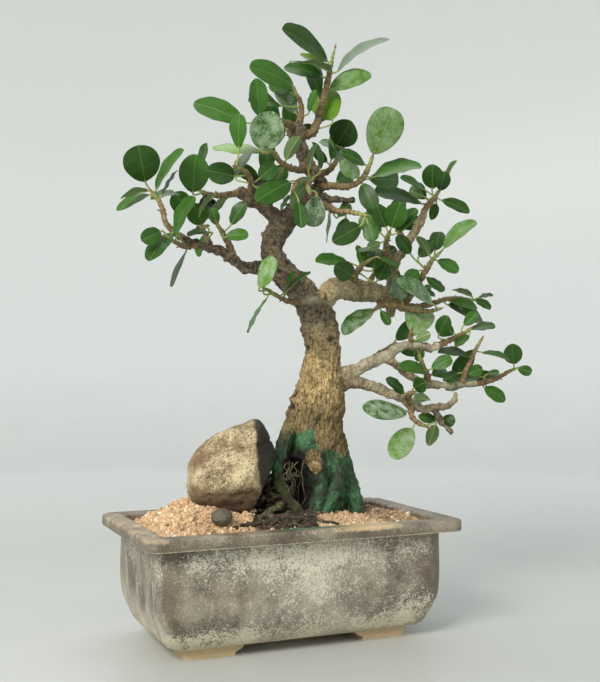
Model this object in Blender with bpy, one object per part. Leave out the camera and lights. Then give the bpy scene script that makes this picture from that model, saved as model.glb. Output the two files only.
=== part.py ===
"""A ficus compacta bonsai in its rectangular pot, with sandy soil, a stone and a pebble.

Sizes are in millimetres and turn to metres where a mesh is made. X runs along the pot's
long side to the right, Y away from the front, Z up. Trunk, branches and leaves were
measured as they are seen from VIEW_POINT, on the upright plane Y = 0: a place is given as
x and z on that plane, with a depth Y, and slides along its line of sight to that depth.
"""
import math
import random
from collections import namedtuple

import bmesh
import bpy
from mathutils import Vector
from mathutils.bvhtree import BVHTree

OBJECT_NAME = "ficus_compacta_bonsai"
MM = 0.001
GAP = 0.3
HOLE_GAP = 0.4
WELD = 0.0005
CUT_PAST = 20.0

# Bevel resolution of a round limb, which gives 12, 8 or 6 sides
TRUNK_SIDES = 4
BRANCH_SIDES = 2
TWIG_SIDES = 1
THIN_WOOD = 5.6
VIEW_POINT = Vector((-307.0, -751.0, 210.0))

# Pot: rim outline and height, then each level of the walls as (z, inset from the rim, corner radius)
POT_HALF_LENGTH = 125.0
POT_HALF_WIDTH = 75.0
RIM_TOP = 90.0
LOBE_RISE = 1.6
LOBE_END_X = 48.0
LOBE_END_Y = 26.0
LOBE_SLOPE = 6.0
OUTER_WALL = (
    (8.0, 27.0, 9.0),
    (11.0, 22.0, 11.0),
    (20.0, 17.0, 12.0),
    (36.0, 12.4, 12.0),
    (81.0, 12.0, 12.0),
    (82.6, 0.0, 10.0),
    (89.0, 0.0, 10.0),
)
RIM_EDGE = ((90.0, 1.4, 9.0), (90.0, 14.2, 6.0))
INNER_WALL = (
    (88.6, 15.5, 6.0),
    (38.0, 16.5, 8.0),
    (20.0, 22.0, 9.0),
    (14.0, 30.0, 7.0),
)
FLOOR_TOP = 14.0
CORNER_STEPS = 2
FOOT_HALF_LENGTH = 90.0
FOOT_HALF_WIDTH = 44.0
FOOT_CORNER = 6.0
FOOT_TOP = 10.0
ARCH_HALF_LENGTH = 52.0
ARCH_HALF_WIDTH = 19.0
ARCH_STEPS = ((0.0, -1.0), (0.0, 1.2), (2.4, 3.4), (4.6, 4.0), (6.8, 6.4), (9.4, 8.0), (9.4, 12.0))
DRAIN_X = 60.0
DRAIN_RADIUS = 7.0
DRAIN_SIDES = 16
SCREEN_HALF = 12.0
SCREEN_THICK = 1.2
SCREEN_HOLE = 7.0
SCREEN_PITCH = 5.5

# Soil: level bed with mounds as (height, x, y, spread in x, spread in y)
SOIL_LEVEL = 86.0
SOIL_AT_WALL = 88.0
SOIL_SLOPE = 0.55
SOIL_RIPPLE = 0.8
MOUNDS = (
    (26.0, -80.0, -12.0, 42.0, 42.0),
    (10.0, 22.0, -12.0, 50.0, 45.0),
    (6.0, -20.0, -48.0, 85.0, 20.0),
    (7.0, 85.0, 5.0, 30.0, 30.0),
    (-6.0, 105.0, 35.0, 30.0, 40.0),
    (-6.0, -95.0, 58.0, 40.0, 22.0),
)
SOIL_RINGS = (1.0, 0.92, 0.78, 0.6, 0.4, 0.2)
BURIED_TRUNK = 5

# Stone: its middle, and flat faces as (right, towards the viewer, up, distance from the middle)
STONE_SEEN = (-41.0, 133.0, -14.0)
STONE_FACES = (
    (-0.34, 0.0, 0.94, 26.0),
    (-0.68, 0.0, 0.74, 24.8),
    (-0.94, 0.0, 0.33, 29.2),
    (-1.0, 0.0, -0.1, 32.1),
    (-0.62, 0.0, -0.78, 36.7),
    (-0.06, 0.0, -1.0, 34.0),
    (0.89, 0.0, -0.45, 29.6),
    (0.97, 0.0, -0.23, 33.7),
    (0.97, 0.0, 0.24, 35.9),
    (0.84, 0.0, 0.54, 37.7),
    (-0.25, 0.9, 0.3, 25.0),
    (0.83, 0.55, 0.1, 34.0),
    (-0.78, 0.6, 0.15, 30.0),
    (0.0, 0.8, -0.6, 34.0),
    (-0.2, 0.5, 0.85, 31.0),
    (0.0, -1.0, 0.0, 24.0),
    (-0.7, -0.7, 0.0, 30.0),
    (0.7, -0.7, 0.0, 31.0),
    (0.0, -0.6, 0.8, 31.0),
)
STONE_SHARPNESS = 26
STONE_LEVELS = 3
PEBBLE_LEVELS = 2
PEBBLE_SEEN = (-47.0, 93.5, -50.0)
PEBBLE_RADII = (7.6, 6.8, 6.2)

# Trunk and branches as (x, z, depth, radius) from below upwards
TRUNK = (
    (31, 66, 2, 18), (30, 86, 2, 25), (28, 104, 2, 28.5), (28, 120, 2, 28.5), (28.5, 136, 1, 27),
    (29, 150, 0, 25.5), (31, 165, 0, 23.8), (34, 180, 0, 21.8), (35.5, 191, 0, 19.4), (36, 202, 0, 16.6),
    (37.5, 213, 0, 14.4), (38, 225, 0, 14), (36.5, 238, 0, 14.4), (32, 250, 0, 13.6), (26, 261, 0, 12.2),
    (17, 272, 0, 11.4), (7, 281, -1, 10.6), (-2.5, 291, -2, 9.6), (-6, 302, -2, 8.8), (-4.4, 311, -1, 9),
    (1, 319, 0, 9.4), (3, 326, 1, 8),
)
WOOD = {
    "left_low": (
        (-4, 289, -2, 6), (-14, 286, -5, 5), (-30, 287, -9, 4.2), (-36, 290, -11, 4.2),
        (-46, 298, -14, 3.6), (-57, 300, -17, 3.3), (-70, 303, -20, 2.9), (-80, 308, -22, 2.6),
    ),
    "left_arm": (
        (2, 322, 1, 7), (-6, 330, -1, 6), (-17, 336, -5, 5), (-25, 340, -8, 5.2), (-33, 346, -11, 5),
    ),
    "left_stub": ((-7, 331, -1, 3.4), (-9, 340, 1, 2.6)),
    "right_arm": (
        (2, 320, 1, 9), (11, 329, 3, 8.2), (20, 338, 4, 7), (30, 348, 6, 6), (36, 356, 8, 5.4),
        (32, 364, 8, 6), (25, 370, 8, 6.2), (20, 382, 7, 5.8), (15, 393, 6, 7.2), (15, 401, 5, 6.4),
    ),
    "right_spur": (
        (36, 345, 6, 4), (46, 344.5, 2, 3.2), (56, 344, -1, 2.8), (67, 345, -3, 2.4),
    ),
    "mid_limb": (
        (33, 252, 2, 7), (44, 268, 1, 9), (51, 272, 2, 9.4), (61, 272, 4, 9.4), (70, 271, 7, 9),
        (79, 270.5, 10, 8.6), (89, 269, 13, 8), (97, 266, 15, 6.6), (105, 262, 16, 4.6), (115, 258, 17, 4),
    ),
    "mid_stub": ((98, 264, 15, 4.4), (102, 251, 13, 3.2)),
    "mid_rise": (
        (98, 266, 14, 5), (102, 280, 12, 4.3), (103, 290, 11, 4), (109, 301, 9, 3.9), (115, 310, 8, 3.8),
        (120, 318, 7, 3.7), (126, 326, 6, 3.6), (130, 334, 5, 3.4), (133, 341, 4, 3),
    ),
    "low_upper": (
        (38, 196, 0, 6.4), (56, 203, -4, 6), (68, 206, -6, 5.4), (79, 211, -8, 5), (89, 215, -10, 4.7),
        (98, 219, -12, 4.4), (111, 226, -15, 4), (121, 227, -17, 3.8), (130, 226, -19, 3.6),
        (138, 224, -21, 3.5), (147, 227.5, -22, 3.2),
    ),
    "low_middle": (
        (95, 217, -11, 4), (108, 208, -14, 3.6), (116, 203, -15, 3.6), (124, 198, -16, 3.7),
        (134, 194, -17, 3.9), (142, 194, -18, 3.5), (153, 193, -19, 3.1), (168, 193.5, -20, 2.7),
        (182, 194, -20, 2.3),
    ),
    "low_lower": (
        (40, 191, 0, 6), (63, 195, -8, 4.8), (75, 195, -12, 4.5), (87, 191, -16, 4.3), (98, 187, -20, 4.1),
        (112, 182, -25, 3.9), (120, 177, -27, 3.7), (130, 174, -30, 3.6), (142, 175, -33, 3.2),
        (153, 175, -35, 2.8), (161, 180, -36, 2.3), (163, 187, -37, 1.9),
    ),
    "low_stub": ((141, 174, -33, 2.8), (147, 163, -36, 2.4), (158, 154, -38, 1.8)),
}

# Roots, in the same form, from the trunk down into the soil
ROOTS = {
    "root_left": (
        (8, 158, -12, 6), (1, 138, -17, 5.6), (-0.5, 127, -20, 5), (1, 115, -24, 4.6), (8, 104, -28, 4.6),
        (15, 95, -31, 4.6), (22, 87, -33, 4), (27, 78, -34, 3),
    ),
    "root_front": (
        (33, 165, -14, 6), (33, 140, -21, 6.6), (34, 120, -27, 7), (35, 109, -30, 6.4), (32, 99, -33, 6),
        (29, 88, -35, 5.4), (27, 78, -36, 3.6),
    ),
    "root_front_right": (
        (46, 150, -17, 6), (50, 130, -22, 6), (51, 118, -26, 5.6), (45, 105, -30, 5), (38, 92, -32, 4.8),
        (33, 80, -33, 3.4),
    ),
    "root_right": (
        (50, 155, -7, 7), (56, 132, -10, 7), (61, 117, -14, 6.4), (65, 105, -18, 6), (70, 90, -22, 5.6),
        (75, 78, -24, 3.6),
    ),
    "root_far_right": ((50, 142, 8, 8), (57, 113, 12, 7), (61, 99, 16, 6), (64, 82, 19, 4)),
    "root_back_right": ((42, 145, 13, 8), (48, 112, 21, 7.4), (52, 97, 27, 6.4), (55, 80, 32, 4)),
    "root_back": ((28, 148, 16, 9), (26, 112, 25, 8.4), (24, 96, 32, 7), (21, 79, 38, 4)),
    "root_back_left": ((8, 148, 10, 8), (2, 113, 17, 8), (-3, 97, 24, 6.6), (-8, 80, 30, 4)),
    "root_surface": ((9, 103, -25, 3), (-3, 98, -34, 2.6), (-14, 92, -40, 2.2), (-22, 84, -43, 1.8)),
    "root_cut": ((30, 140, -19, 5), (31, 134, -28, 6.4), (31, 129, -33.5, 6.2)),
}
HOLLOW_SEEN = (13.0, 116.0, -19.0)
HOLLOW_RADII = (12.0, 21.0, 22.0)

# Leaves: thickness, petiole, and how a blade seen short or narrow is turned
BLADE_THICK = 0.8
PETIOLE = 6.0
BEND_ROOM = 2.5
BEND_COST = 2.0
SHARPEST_BEND = 0.3
PETIOLE_THICK = 1.5
ROOT_SUNK = 0.15
ROOT_STEP = 0.07
BLADE_OUTLINE = ((0.0, 0.16), (0.3, 0.86), (0.7, 0.97), (1.0, 0.3))
BLADE_ARCH = 0.05
SLIMMEST = 1.75
BROADEST = 1.35
LEAN = 1.06
REAR_REACH = 26.0
REAR_WIDTH = 15.0
REAR_STALK = 6.0
REAR_START = 0.25
REAR_SCATTER = 4.0
ROOT_STEPS = 5
REAR_SEED = 11
CLEARANCE = 0.5
SHIFTS = (0, 6, -6, 12, -12, 18, -18, 24, -24, 30, -30, 36, -36, 44, -44, 52, -52)

# A shoot has its parents in the wood, its stems in the form of a branch, its leaves as
# (base x, base z, tip x, tip z, seen width, bow), and a count of leaves behind these. A width
# below zero shows the underside.
Shoot = namedtuple("Shoot", "name parents stems leaves rear")
Leaf = namedtuple("Leaf", "base tip seen_width bow reach")
SHOOTS = (
    Shoot(
        "shoot_left_tip", ("left_low",),
        (((-78, 307, -22, 2.4), (-86, 311, -23, 2.3), (-92, 318, -25, 2), (-96, 331, -26, 1.8),
          (-102, 339, -27, 1.3)),),
        ((-108, 347.5, -113.5, 374.5, 26), (-100, 342, -79, 375, 8, -2), (-95, 339, -83, 358, 3),
         (-106, 341, -127, 334, -5), (-105, 338, -130, 325, 7), (-103, 335, -82, 341, 6)), 0,
    ),
    Shoot(
        "shoot_left_low", ("left_low",),
        (((-68, 302, -20, 2.2), (-76, 300, -29, 1.8), (-84, 303, -36, 1.6), (-91, 306, -40, 1.2)),),
        ((-84, 306, -70, 339, 10, 3), (-87, 310, -105.5, 289.5, 12), (-96, 311, -111, 303, 13),
         (-76, 297, -88, 270, 4)), 0,
    ),
    Shoot(
        "shoot_left_mid", ("left_low",),
        (((-56, 300, -17, 2.2), (-59, 307, -2, 1.9), (-63, 314, 12, 1.6), (-68, 321, 22, 1.2)),),
        ((-75, 325, -85, 341, 17), (-63, 318, -71, 334, 18), (-58, 312, -67, 293, 7),
         (-57, 312, -75, 309, 4)), 1,
    ),
    Shoot(
        "shoot_left_inner", ("left_low",),
        (((-37, 291, -11, 3), (-41, 302, -18, 2.5), (-47, 312, -26, 2), (-51, 319, -33, 1.3)),),
        ((-40, 319, -28, 337, 11), (-45, 309, -25.5, 312, 10), (-52, 318, -55, 331, 8)), 0,
    ),
    Shoot(
        "shoot_left_upper", ("left_arm",),
        (((-32, 345, -11, 3), (-43, 342, -11, 2.5), (-58, 341, -8, 2), (-66, 344, -5, 1.4)),),
        ((-71, 342, -69, 371, 23.5), (-64, 352, -60.6, 381, 7), (-42, 343, -59, 323, -6),
         (-54, 341, -67, 324, -4)), 1,
    ),
    Shoot(
        "shoot_crown_left", ("left_arm",),
        (((-27, 341, -8, 2.6), (-23, 352, -17, 2.2), (-28, 361, -27, 1.8), (-36, 364, -35, 1.3)),),
        ((-37, 357, -60, 360, 18), (-36, 356, -24, 377, 9), (-33.5, 379, -33, 406, 13),
         (-17, 356, -3, 369, 15), (-20, 350, -9, 343, -7)), 1,
    ),
    Shoot(
        "shoot_crown_front", ("right_arm",),
        (((27, 367, 7, 3), (14, 366, -10, 2.4), (2, 371, -24, 2.1), (-6, 379, -34, 1.7),
          (-12, 377, -41, 1.2)),),
        ((-14, 378, -55, 379, 8, 2), (4, 367, -9.5, 345, -11), (-14.5, 379, -5.5, 410.5, 27),
         (6, 373, 18, 393, -11)), 0,
    ),
    Shoot(
        "shoot_crown_hub", ("right_arm",),
        (((16, 399, 5, 3.4), (19, 409, 2, 2.5), (19, 419, -2, 2), (13, 430, -6, 1.4)),
         ((14, 400, 4, 3), (4, 403, -9, 2.4), (-10, 405, -24, 1.5))),
        ((13, 432.5, -24, 444.5, 17), (15, 411, 0, 433, 16), (-16.5, 406, -20, 435.5, 16),
         (2, 416, -25, 418, 8), (26, 413, 31, 432, 6), (-30, 400, -70.5, 411, 17)), 1,
    ),
    Shoot(
        "shoot_apex", ("right_arm",),
        (((18, 396, 6, 4.2), (28, 396, 8, 3.6), (33, 405, 9, 3), (36, 416, 9, 2.7), (40, 428, 9, 2.6),
          (42, 437, 9, 2.5), (44, 446, 9, 2.3), (46, 456, 9, 1.7), (49, 467, 9, 0.8)),),
        ((42.6, 456, 2, 477, 15.5), (51.5, 449, 99, 483, 8, 5), (44.5, 433, 82.5, 450, 16),
         (46, 448, 10.6, 451.6, -5, 3), (38, 443, 4.4, 448, 13), (41, 451, 18, 458.5, 6),
         (47, 409, 36, 433, 25)), 2,
    ),
    Shoot(
        "shoot_crown_mid", ("right_arm",),
        (((31, 362, 8, 3), (27, 359, -8, 2.4), (25, 354, -22, 2.1), (27, 348, -36, 1.5)),
         ((27, 359, -8, 2.2), (17, 357, -20, 1.8), (12, 350, -30, 1.3))),
        ((10, 356, -18, 339.5, 17), (30, 360, 9, 336.5, -12), (10, 345, 1, 333, -4),
         (17, 341, 19.4, 319.6, 12), (33, 347, 29, 321, 19), (26, 368, 33, 389, -5),
         (36, 368, 30, 390, 7)), 0,
    ),
    Shoot(
        "shoot_crown_right", ("right_arm",),
        (((33, 363, 8, 3), (43, 367, 20, 2.5), (50, 375, 32, 2.1), (52, 384, 42, 1.5)),),
        ((51, 389, 64, 410, 27), (45, 392, 59, 364, 4), (60, 381, 36, 391, 9),
         (42, 374, 30, 383, 9)), 1,
    ),
    Shoot(
        "shoot_crown_far_right", ("right_arm",),
        (((35, 354, 7, 3.2), (46, 355, -2, 2.8), (62, 356, -13, 2.5), (74, 363, -21, 2.2),
          (80, 373, -27, 1.8), (83, 381, -31, 1.4)),),
        ((84, 384, 103.5, 424, 28), (84, 365, 130, 377.5, 13), (80, 363, 109, 365, 17),
         (74, 359, 85, 338, 16), (71, 364, 54, 375.5, 14), (76.6, 375, 55, 383, 9)), 1,
    ),
    Shoot(
        "shoot_crown_low_right", ("right_arm",),
        (((26, 343, 5, 3.2), (42, 338.6, -9, 2.8), (51, 335, -18, 2.5), (62, 335, -27, 2.1),
          (77, 333, -37, 1.4)),),
        ((44, 333, 42, 309, 3, 6), (72, 324, 47, 310, 17), (52, 330, 63, 343, 10),
         (79, 327, 84, 312, 12)), 1,
    ),
    Shoot(
        "shoot_mid_top", ("mid_rise",),
        (((132, 339, 4, 2.8), (137, 346, 10, 2.5), (142, 351, 17, 2.1), (146, 357, 24, 1.4)),),
        ((132, 358, 110, 366.5, 6), (140, 359, 141, 380, 18), (148, 358, 153, 375, 13),
         (153, 366, 164, 385.5, -5), (132, 352, 119, 356, -9), (130, 346, 86.5, 351.6, 12),
         (149, 350, 177, 341, 11), (144, 347, 139.6, 333, 9)), 1,
    ),
    Shoot(
        "shoot_mid_centre", ("mid_rise",),
        (((103, 291, 11, 3), (97, 302, -6, 2.7), (96, 312, -20, 2.3), (99, 320, -33, 1.5)),),
        ((101, 324, 109, 345, 20), (106, 320, 126, 341, 12), (96, 324, 87, 342, 14),
         (91, 319, 73, 333, 17), (91, 311, 79, 306, -9), (92, 305, 70.6, 303, 4)), 0,
    ),
    Shoot(
        "shoot_mid_limb", ("mid_limb",),
        (((66, 272, 5, 3), (68, 284, -10, 2.4), (74, 292, -22, 1.8), (82, 297, -32, 1.2)),),
        ((62, 293, 32, 293, 10), (65, 283, 48, 291, 17), (72, 292, 70, 308, 7),
         (84, 289, 87, 305, 15), (88, 280, 97, 295, 14), (89, 299, 108, 291, 5)), 0,
    ),
    Shoot(
        "shoot_mid_right", ("mid_limb",),
        (((112, 259, 17, 3), (121, 271, 8, 2.8), (128, 281, -1, 2.6), (134, 290, -8, 2.4),
          (140, 299, -15, 2), (147, 305, -21, 1.3)),),
        ((119, 303, 107, 318, 12), (127, 301, 141, 315, 13), (137, 303, 127, 319, -8),
         (143, 307, 147, 324, 14), (151, 309, 184, 334, 13), (145, 298.6, 166, 290, 11),
         (127, 289, 114, 280, 13), (134, 284, 152, 273, 8), (128, 274, 143, 268, 5)), 1,
    ),
    Shoot(
        "shoot_mid_low", ("mid_limb",),
        (((113, 259, 17, 3.2), (127, 259, 20, 2.7), (140, 262, 23, 2.4), (153, 266, 27, 2.1),
          (167, 267, 31, 1.8), (180, 266, 35, 1.3)),),
        ((179, 269, 159.5, 275, -6), (158, 264, 185, 259, 9), (182, 266, 199, 259.6, 8),
         (155, 261, 193, 245, 14), (186, 268, 201, 271, 4), (169, 258, 184, 250, 9)), 1,
    ),
    Shoot(
        "shoot_low_upper", ("low_upper",),
        (((144, 226, -22, 2.9), (156, 231, -23, 2.6), (164, 234, -24, 2.3), (172, 238, -25, 1.7),
          (177, 241, -26, 1.2)),),
        ((146, 236, 155, 252, 13), (179, 241, 203, 244, 8), (176, 236, 163, 226, 8),
         (171, 244, 184, 255, 10)), 1,
    ),
    Shoot(
        "shoot_low_round", ("low_upper",),
        (((120, 227, -17, 2.4), (119, 235, -22, 1.7), (120, 239, -25, 1.2)),),
        ((122, 235, 130, 258, 26), (124, 231, 138, 237, -9)), 0,
    ),
    Shoot(
        "shoot_limb_under", ("mid_limb",),
        (((90, 268, 13, 2.6), (89, 259, 6, 2.1), (86, 256, 2, 1.4)),
         ((88.5, 259.5, 6, 2.2), (96, 259.5, 3.5, 2.4), (104, 259.5, 2.5, 2.5), (113, 257.5, 2, 2.4),
          (128, 255.5, -8, 2), (140, 256, -12, 1.7), (146, 257.5, -13, 1.2))),
        ((84, 256, 57, 235, 15), (91, 255, 99, 243, 8), (111, 263, 106.5, 284.5, 19),
         (140.5, 261.5, 107, 280, 13.5)), 0,
    ),
    Shoot(
        "shoot_low_middle", ("low_middle",),
        (((134, 194, -17, 3), (135, 200, -21, 2.5), (131, 209, -25, 2.1), (127, 219, -28, 1.4)),),
        ((139, 207, 159, 216, 12), (135, 204, 108, 208, 11), (125, 213, 129, 224, 9)), 1,
    ),
    Shoot(
        "shoot_low_rise", ("low_middle",),
        (((168, 193.5, -20, 2.4), (171, 201, -21, 2.2), (176, 211, -22, 2), (182, 222, -24, 1.7),
          (188, 231, -25, 1.2)),),
        ((178, 217, 145, 221, 8), (165, 203, 150, 197, 10), (189, 221, 218, 213.5, 4),
         (174, 203, 190, 207, 11)), 1,
    ),
    Shoot(
        "shoot_low_tip", ("low_middle",),
        (((179, 194, -20, 2.2), (190, 195, -18, 2.1), (199, 197, -15, 2), (209, 201, -11, 1.9),
          (218, 205, -7, 1.5), (224, 207, -4, 1.1)),),
        ((222, 211, 220, 229, 17), (226, 207, 241, 204, 9), (191, 191, 213, 179, 11),
         (188, 200, 152, 190, 13), (194, 202, 207, 204, 5)), 1,
    ),
    Shoot(
        "shoot_low_front", ("low_lower",),
        (((118, 178, -26, 3), (117, 185, -36, 2.4), (122, 187, -42, 1.8), (127, 183, -46, 1.3)),),
        ((113, 187, 95, 198, 9), (113, 187, 103, 190, 5), (122, 191, 133, 196, 14),
         (137, 181, 119, 182, -9)), 0,
    ),
    Shoot(
        "shoot_low_hanging", ("low_lower",),
        (((121, 177, -27, 3), (119, 170, -34, 2.3), (124, 163, -39, 2), (133, 159, -42, 1.4)),),
        ((115, 172, 76, 173, 15), (120.5, 157.5, 100, 133.5, 19), (143, 160, 136, 143, -11)), 0,
    ),
    Shoot(
        "shoot_low_end", ("low_lower", "low_stub"),
        (((142, 175, -33, 2.6), (144, 168, -28, 2.1), (146, 163, -24, 1.5)),),
        ((143, 164, 127, 167, 9), (150, 166, 161, 160, 11)), 0,
    ),
    Shoot(
        "shoot_fork_sprout", ("trunk",),
        (((24, 260, 0, 3), (7, 261, -13, 2), (-2, 265, -17, 1.7), (-9, 269, -20, 1.3)),),
        ((-16.5, 270.5, -3.5, 295, 13), (-10, 263, -26, 235, 3), (5, 265, 15, 285, 3, 2),
         (6, 268, 28, 284, 3), (-13, 268, -8, 291, 5)), 0,
    ),
    Shoot(
        "shoot_back_crown", ("right_arm",),
        (((20, 382, 7, 3), (14, 388, 24, 2.4), (8, 396, 38, 2), (2, 402, 50, 1.4)),),
        ((5, 398, -10, 387, 14), (9, 398, 10, 421, 14), (0, 404, -18, 424, 14),
         (14, 392, 31, 401, 13)), 0,
    ),
    Shoot(
        "shoot_back_left", ("left_arm",),
        (((-17, 336, -5, 2.8), (-18, 344, 12, 2.4), (-16, 352, 28, 2), (-12, 360, 42, 1.4)),),
        ((-12, 362, -8, 386, 14), (-18, 356, -37, 366, 13), (-11, 358, 8, 364, 14)), 0,
    ),
    Shoot(
        "shoot_back_middle", ("mid_rise",),
        (((115, 310, 8, 3), (110, 318, 24, 2.5), (104, 328, 38, 2), (98, 336, 50, 1.4)),),
        ((109, 326, 129, 332, 14), (102, 333, 112, 350, 14), (98, 334, 78, 340, 14)), 0,
    ),
    Shoot(
        "shoot_back_right", ("mid_limb",),
        (((79, 270.5, 10, 3), (80, 276, 28, 2.5), (84, 284, 42, 2), (88, 292, 54, 1.4)),),
        ((90, 295, 105, 308, 14), (84, 291, 71, 304, 14), (88, 288, 109, 284, 14)), 0,
    ),
    Shoot(
        "shoot_back_low", ("low_upper",),
        (((79, 211, -8, 2.6), (84, 216, 10, 2.2), (94, 222, 26, 1.9), (104, 228, 40, 1.4)),),
        ((105, 231, 126, 247, 15), (106, 226, 128, 221, 13)), 0,
    ),
)

# Finish of each piece as (red, green, blue, roughness)
GLAZED_CLAY = (0.17, 0.13, 0.11, 0.5)
SANDY_SOIL = (0.62, 0.42, 0.26, 0.95)
BEIGE_STONE = (0.42, 0.31, 0.2, 0.85)
GREY_STONE = (0.07, 0.07, 0.075, 0.7)
BARK = (0.24, 0.17, 0.1, 0.9)
LEAF_GREEN = (0.05, 0.15, 0.035, 0.35)
SCREEN_PLASTIC = (0.03, 0.03, 0.03, 0.5)


def clear_scene():
    """Empty the scene."""
    for thing in list(bpy.data.objects):
        bpy.data.objects.remove(thing)


def new_collection(name):
    """Make a collection in the scene."""
    made = bpy.data.collections.new(name)
    bpy.context.scene.collection.children.link(made)
    return made


def material(name, finish):
    """Make a plain material of the given colour and roughness."""
    made = bpy.data.materials.new(name)
    made.use_nodes = True
    shader = made.node_tree.nodes["Principled BSDF"]
    shader.inputs["Base Color"].default_value = (*finish[:3], 1.0)
    shader.inputs["Roughness"].default_value = finish[3]
    shader.inputs["Metallic"].default_value = 0.0
    return made


def dress(thing, name, finish):
    """Give a piece its one material."""
    thing.data.materials.clear()
    thing.data.materials.append(material(name, finish))


def seen_at(x, z, depth):
    """Give the point at this depth that is seen at x and z of the plane Y = 0."""
    on_plane = Vector((x, 0.0, z))
    share = (depth - VIEW_POINT.y) / -VIEW_POINT.y
    return VIEW_POINT + (on_plane - VIEW_POINT) * share


def tidy(work):
    """Weld doubled points, turn the faces outwards and leave only triangles."""
    bmesh.ops.remove_doubles(work, verts=work.verts, dist=WELD * MM)
    bmesh.ops.dissolve_degenerate(work, edges=work.edges, dist=WELD * MM)
    bmesh.ops.triangulate(work, faces=work.faces)
    bmesh.ops.recalc_face_normals(work, faces=work.faces)


def mesh_from(work, name):
    """Turn a bmesh into a mesh."""
    made = bpy.data.meshes.new(name)
    work.to_mesh(made)
    work.free()
    return made


def place(name, mesh, group):
    """Put a mesh in a collection as an object."""
    made = bpy.data.objects.new(name, mesh)
    group.objects.link(made)
    return made


def evaluated_mesh(thing):
    """Give the object's mesh with its modifiers or its bevel."""
    bpy.context.view_layer.update()
    return bpy.data.meshes.new_from_object(thing.evaluated_get(bpy.context.evaluated_depsgraph_get()))


def loft(rings, name):
    """Close a skin over rings of millimetre points, with a flat cap at both ends."""
    work = bmesh.new()
    levels = [[work.verts.new(Vector(point) * MM) for point in ring] for ring in rings]
    for low, high in zip(levels, levels[1:]):
        for i in range(len(low)):
            j = (i + 1) % len(low)
            work.faces.new((low[i], low[j], high[j], high[i]))
    work.faces.new(levels[0][::-1])
    work.faces.new(levels[-1])
    tidy(work)
    return mesh_from(work, name)


def tube(name, route, group, resolution, grow=0.0):
    """Make a limb along its route; with grow it is that much bigger all over."""
    points = [seen_at(x, z, depth) for x, z, depth, _ in route]
    radii = [radius + grow for *_, radius in route]
    if grow:
        points[0] += (points[0] - points[1]).normalized() * grow
        points[-1] += (points[-1] - points[-2]).normalized() * grow
    curve = bpy.data.curves.new(name, "CURVE")
    curve.dimensions = "3D"
    curve.bevel_depth = MM
    curve.bevel_resolution = resolution
    curve.use_fill_caps = True
    line = curve.splines.new("POLY")
    line.points.add(len(points) - 1)
    for spot, point, radius in zip(line.points, points, radii):
        spot.co = (*(point * MM), 1.0)
        spot.radius = radius
    guide = place(name, curve, group)
    mesh = evaluated_mesh(guide)
    bpy.data.objects.remove(guide)
    work = bmesh.new()
    work.from_mesh(mesh)
    tidy(work)
    return place(name, mesh_from(work, name), group)


def combine(target, tools, operation, solver="EXACT"):
    """Join the tools to the target or cut them out of it, then remove the tools."""
    group = new_collection("tools")
    for tool in tools:
        for owner in list(tool.users_collection):
            owner.objects.unlink(tool)
        group.objects.link(tool)
    step = target.modifiers.new("combine", "BOOLEAN")
    step.operation = operation
    step.operand_type = "COLLECTION"
    step.collection = group
    step.solver = solver
    joined = evaluated_mesh(target)
    target.modifiers.clear()
    target.data = joined
    for tool in tools:
        bpy.data.objects.remove(tool)
    bpy.data.collections.remove(group)


def keep_largest(thing):
    """Weld the mesh and drop every scrap that isn't joined to its largest body."""
    work = bmesh.new()
    work.from_mesh(thing.data)
    tidy(work)
    left = set(work.faces)
    bodies = []
    while left:
        start = left.pop()
        body = {start}
        queue = [start]
        while queue:
            face = queue.pop()
            for edge in face.edges:
                for other in edge.link_faces:
                    if other in left:
                        left.discard(other)
                        body.add(other)
                        queue.append(other)
        bodies.append(body)
    largest = max(bodies, key=len)
    scraps = [face for body in bodies if body is not largest for face in body]
    bmesh.ops.delete(work, geom=scraps, context="FACES")
    work.to_mesh(thing.data)
    work.free()


def block(name, low, high, group):
    """Make a box between two corners."""
    work = bmesh.new()
    bmesh.ops.create_cube(work, size=1.0)
    for vert in work.verts:
        vert.co = Vector([(a + b) / 2 + c * (b - a) for a, b, c in zip(low, high, vert.co)]) * MM
    tidy(work)
    return place(name, mesh_from(work, name), group)


def rounded_ring(half_x, half_y, radius, z):
    """Give the points of a rounded rectangle, with stops where the rim's lobes start and end."""
    stops_x = (LOBE_END_X + LOBE_SLOPE, LOBE_END_X)
    stops_y = (LOBE_END_Y + LOBE_SLOPE, LOBE_END_Y)
    ring = []
    for quarter in range(4):
        right = 1 if quarter in (0, 3) else -1
        back = 1 if quarter < 2 else -1
        for step in range(CORNER_STEPS + 1):
            angle = math.radians(90 * (quarter + step / CORNER_STEPS))
            ring.append((
                right * (half_x - radius) + radius * math.cos(angle),
                back * (half_y - radius) + radius * math.sin(angle),
                z,
            ))
        if quarter in (0, 2):
            stops = stops_x + tuple(-stop for stop in reversed(stops_x))
            ring += [(right * stop, back * half_y, z) for stop in stops]
        else:
            stops = stops_y + tuple(-stop for stop in reversed(stops_y))
            ring += [(right * half_x, back * stop, z) for stop in stops]
    return ring


def pot_ring(z, inset, radius):
    """Give the rounded rectangle that lies this far inside the rim."""
    return rounded_ring(POT_HALF_LENGTH - inset, POT_HALF_WIDTH - inset, radius, z)


def lobe(x, y):
    """Give how far the rim stands up near its corners, 0 to 1."""
    along_x = (abs(x) - LOBE_END_X) / LOBE_SLOPE
    along_y = (abs(y) - LOBE_END_Y) / LOBE_SLOPE
    return max(0.0, min(1.0, along_x, along_y))


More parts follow.
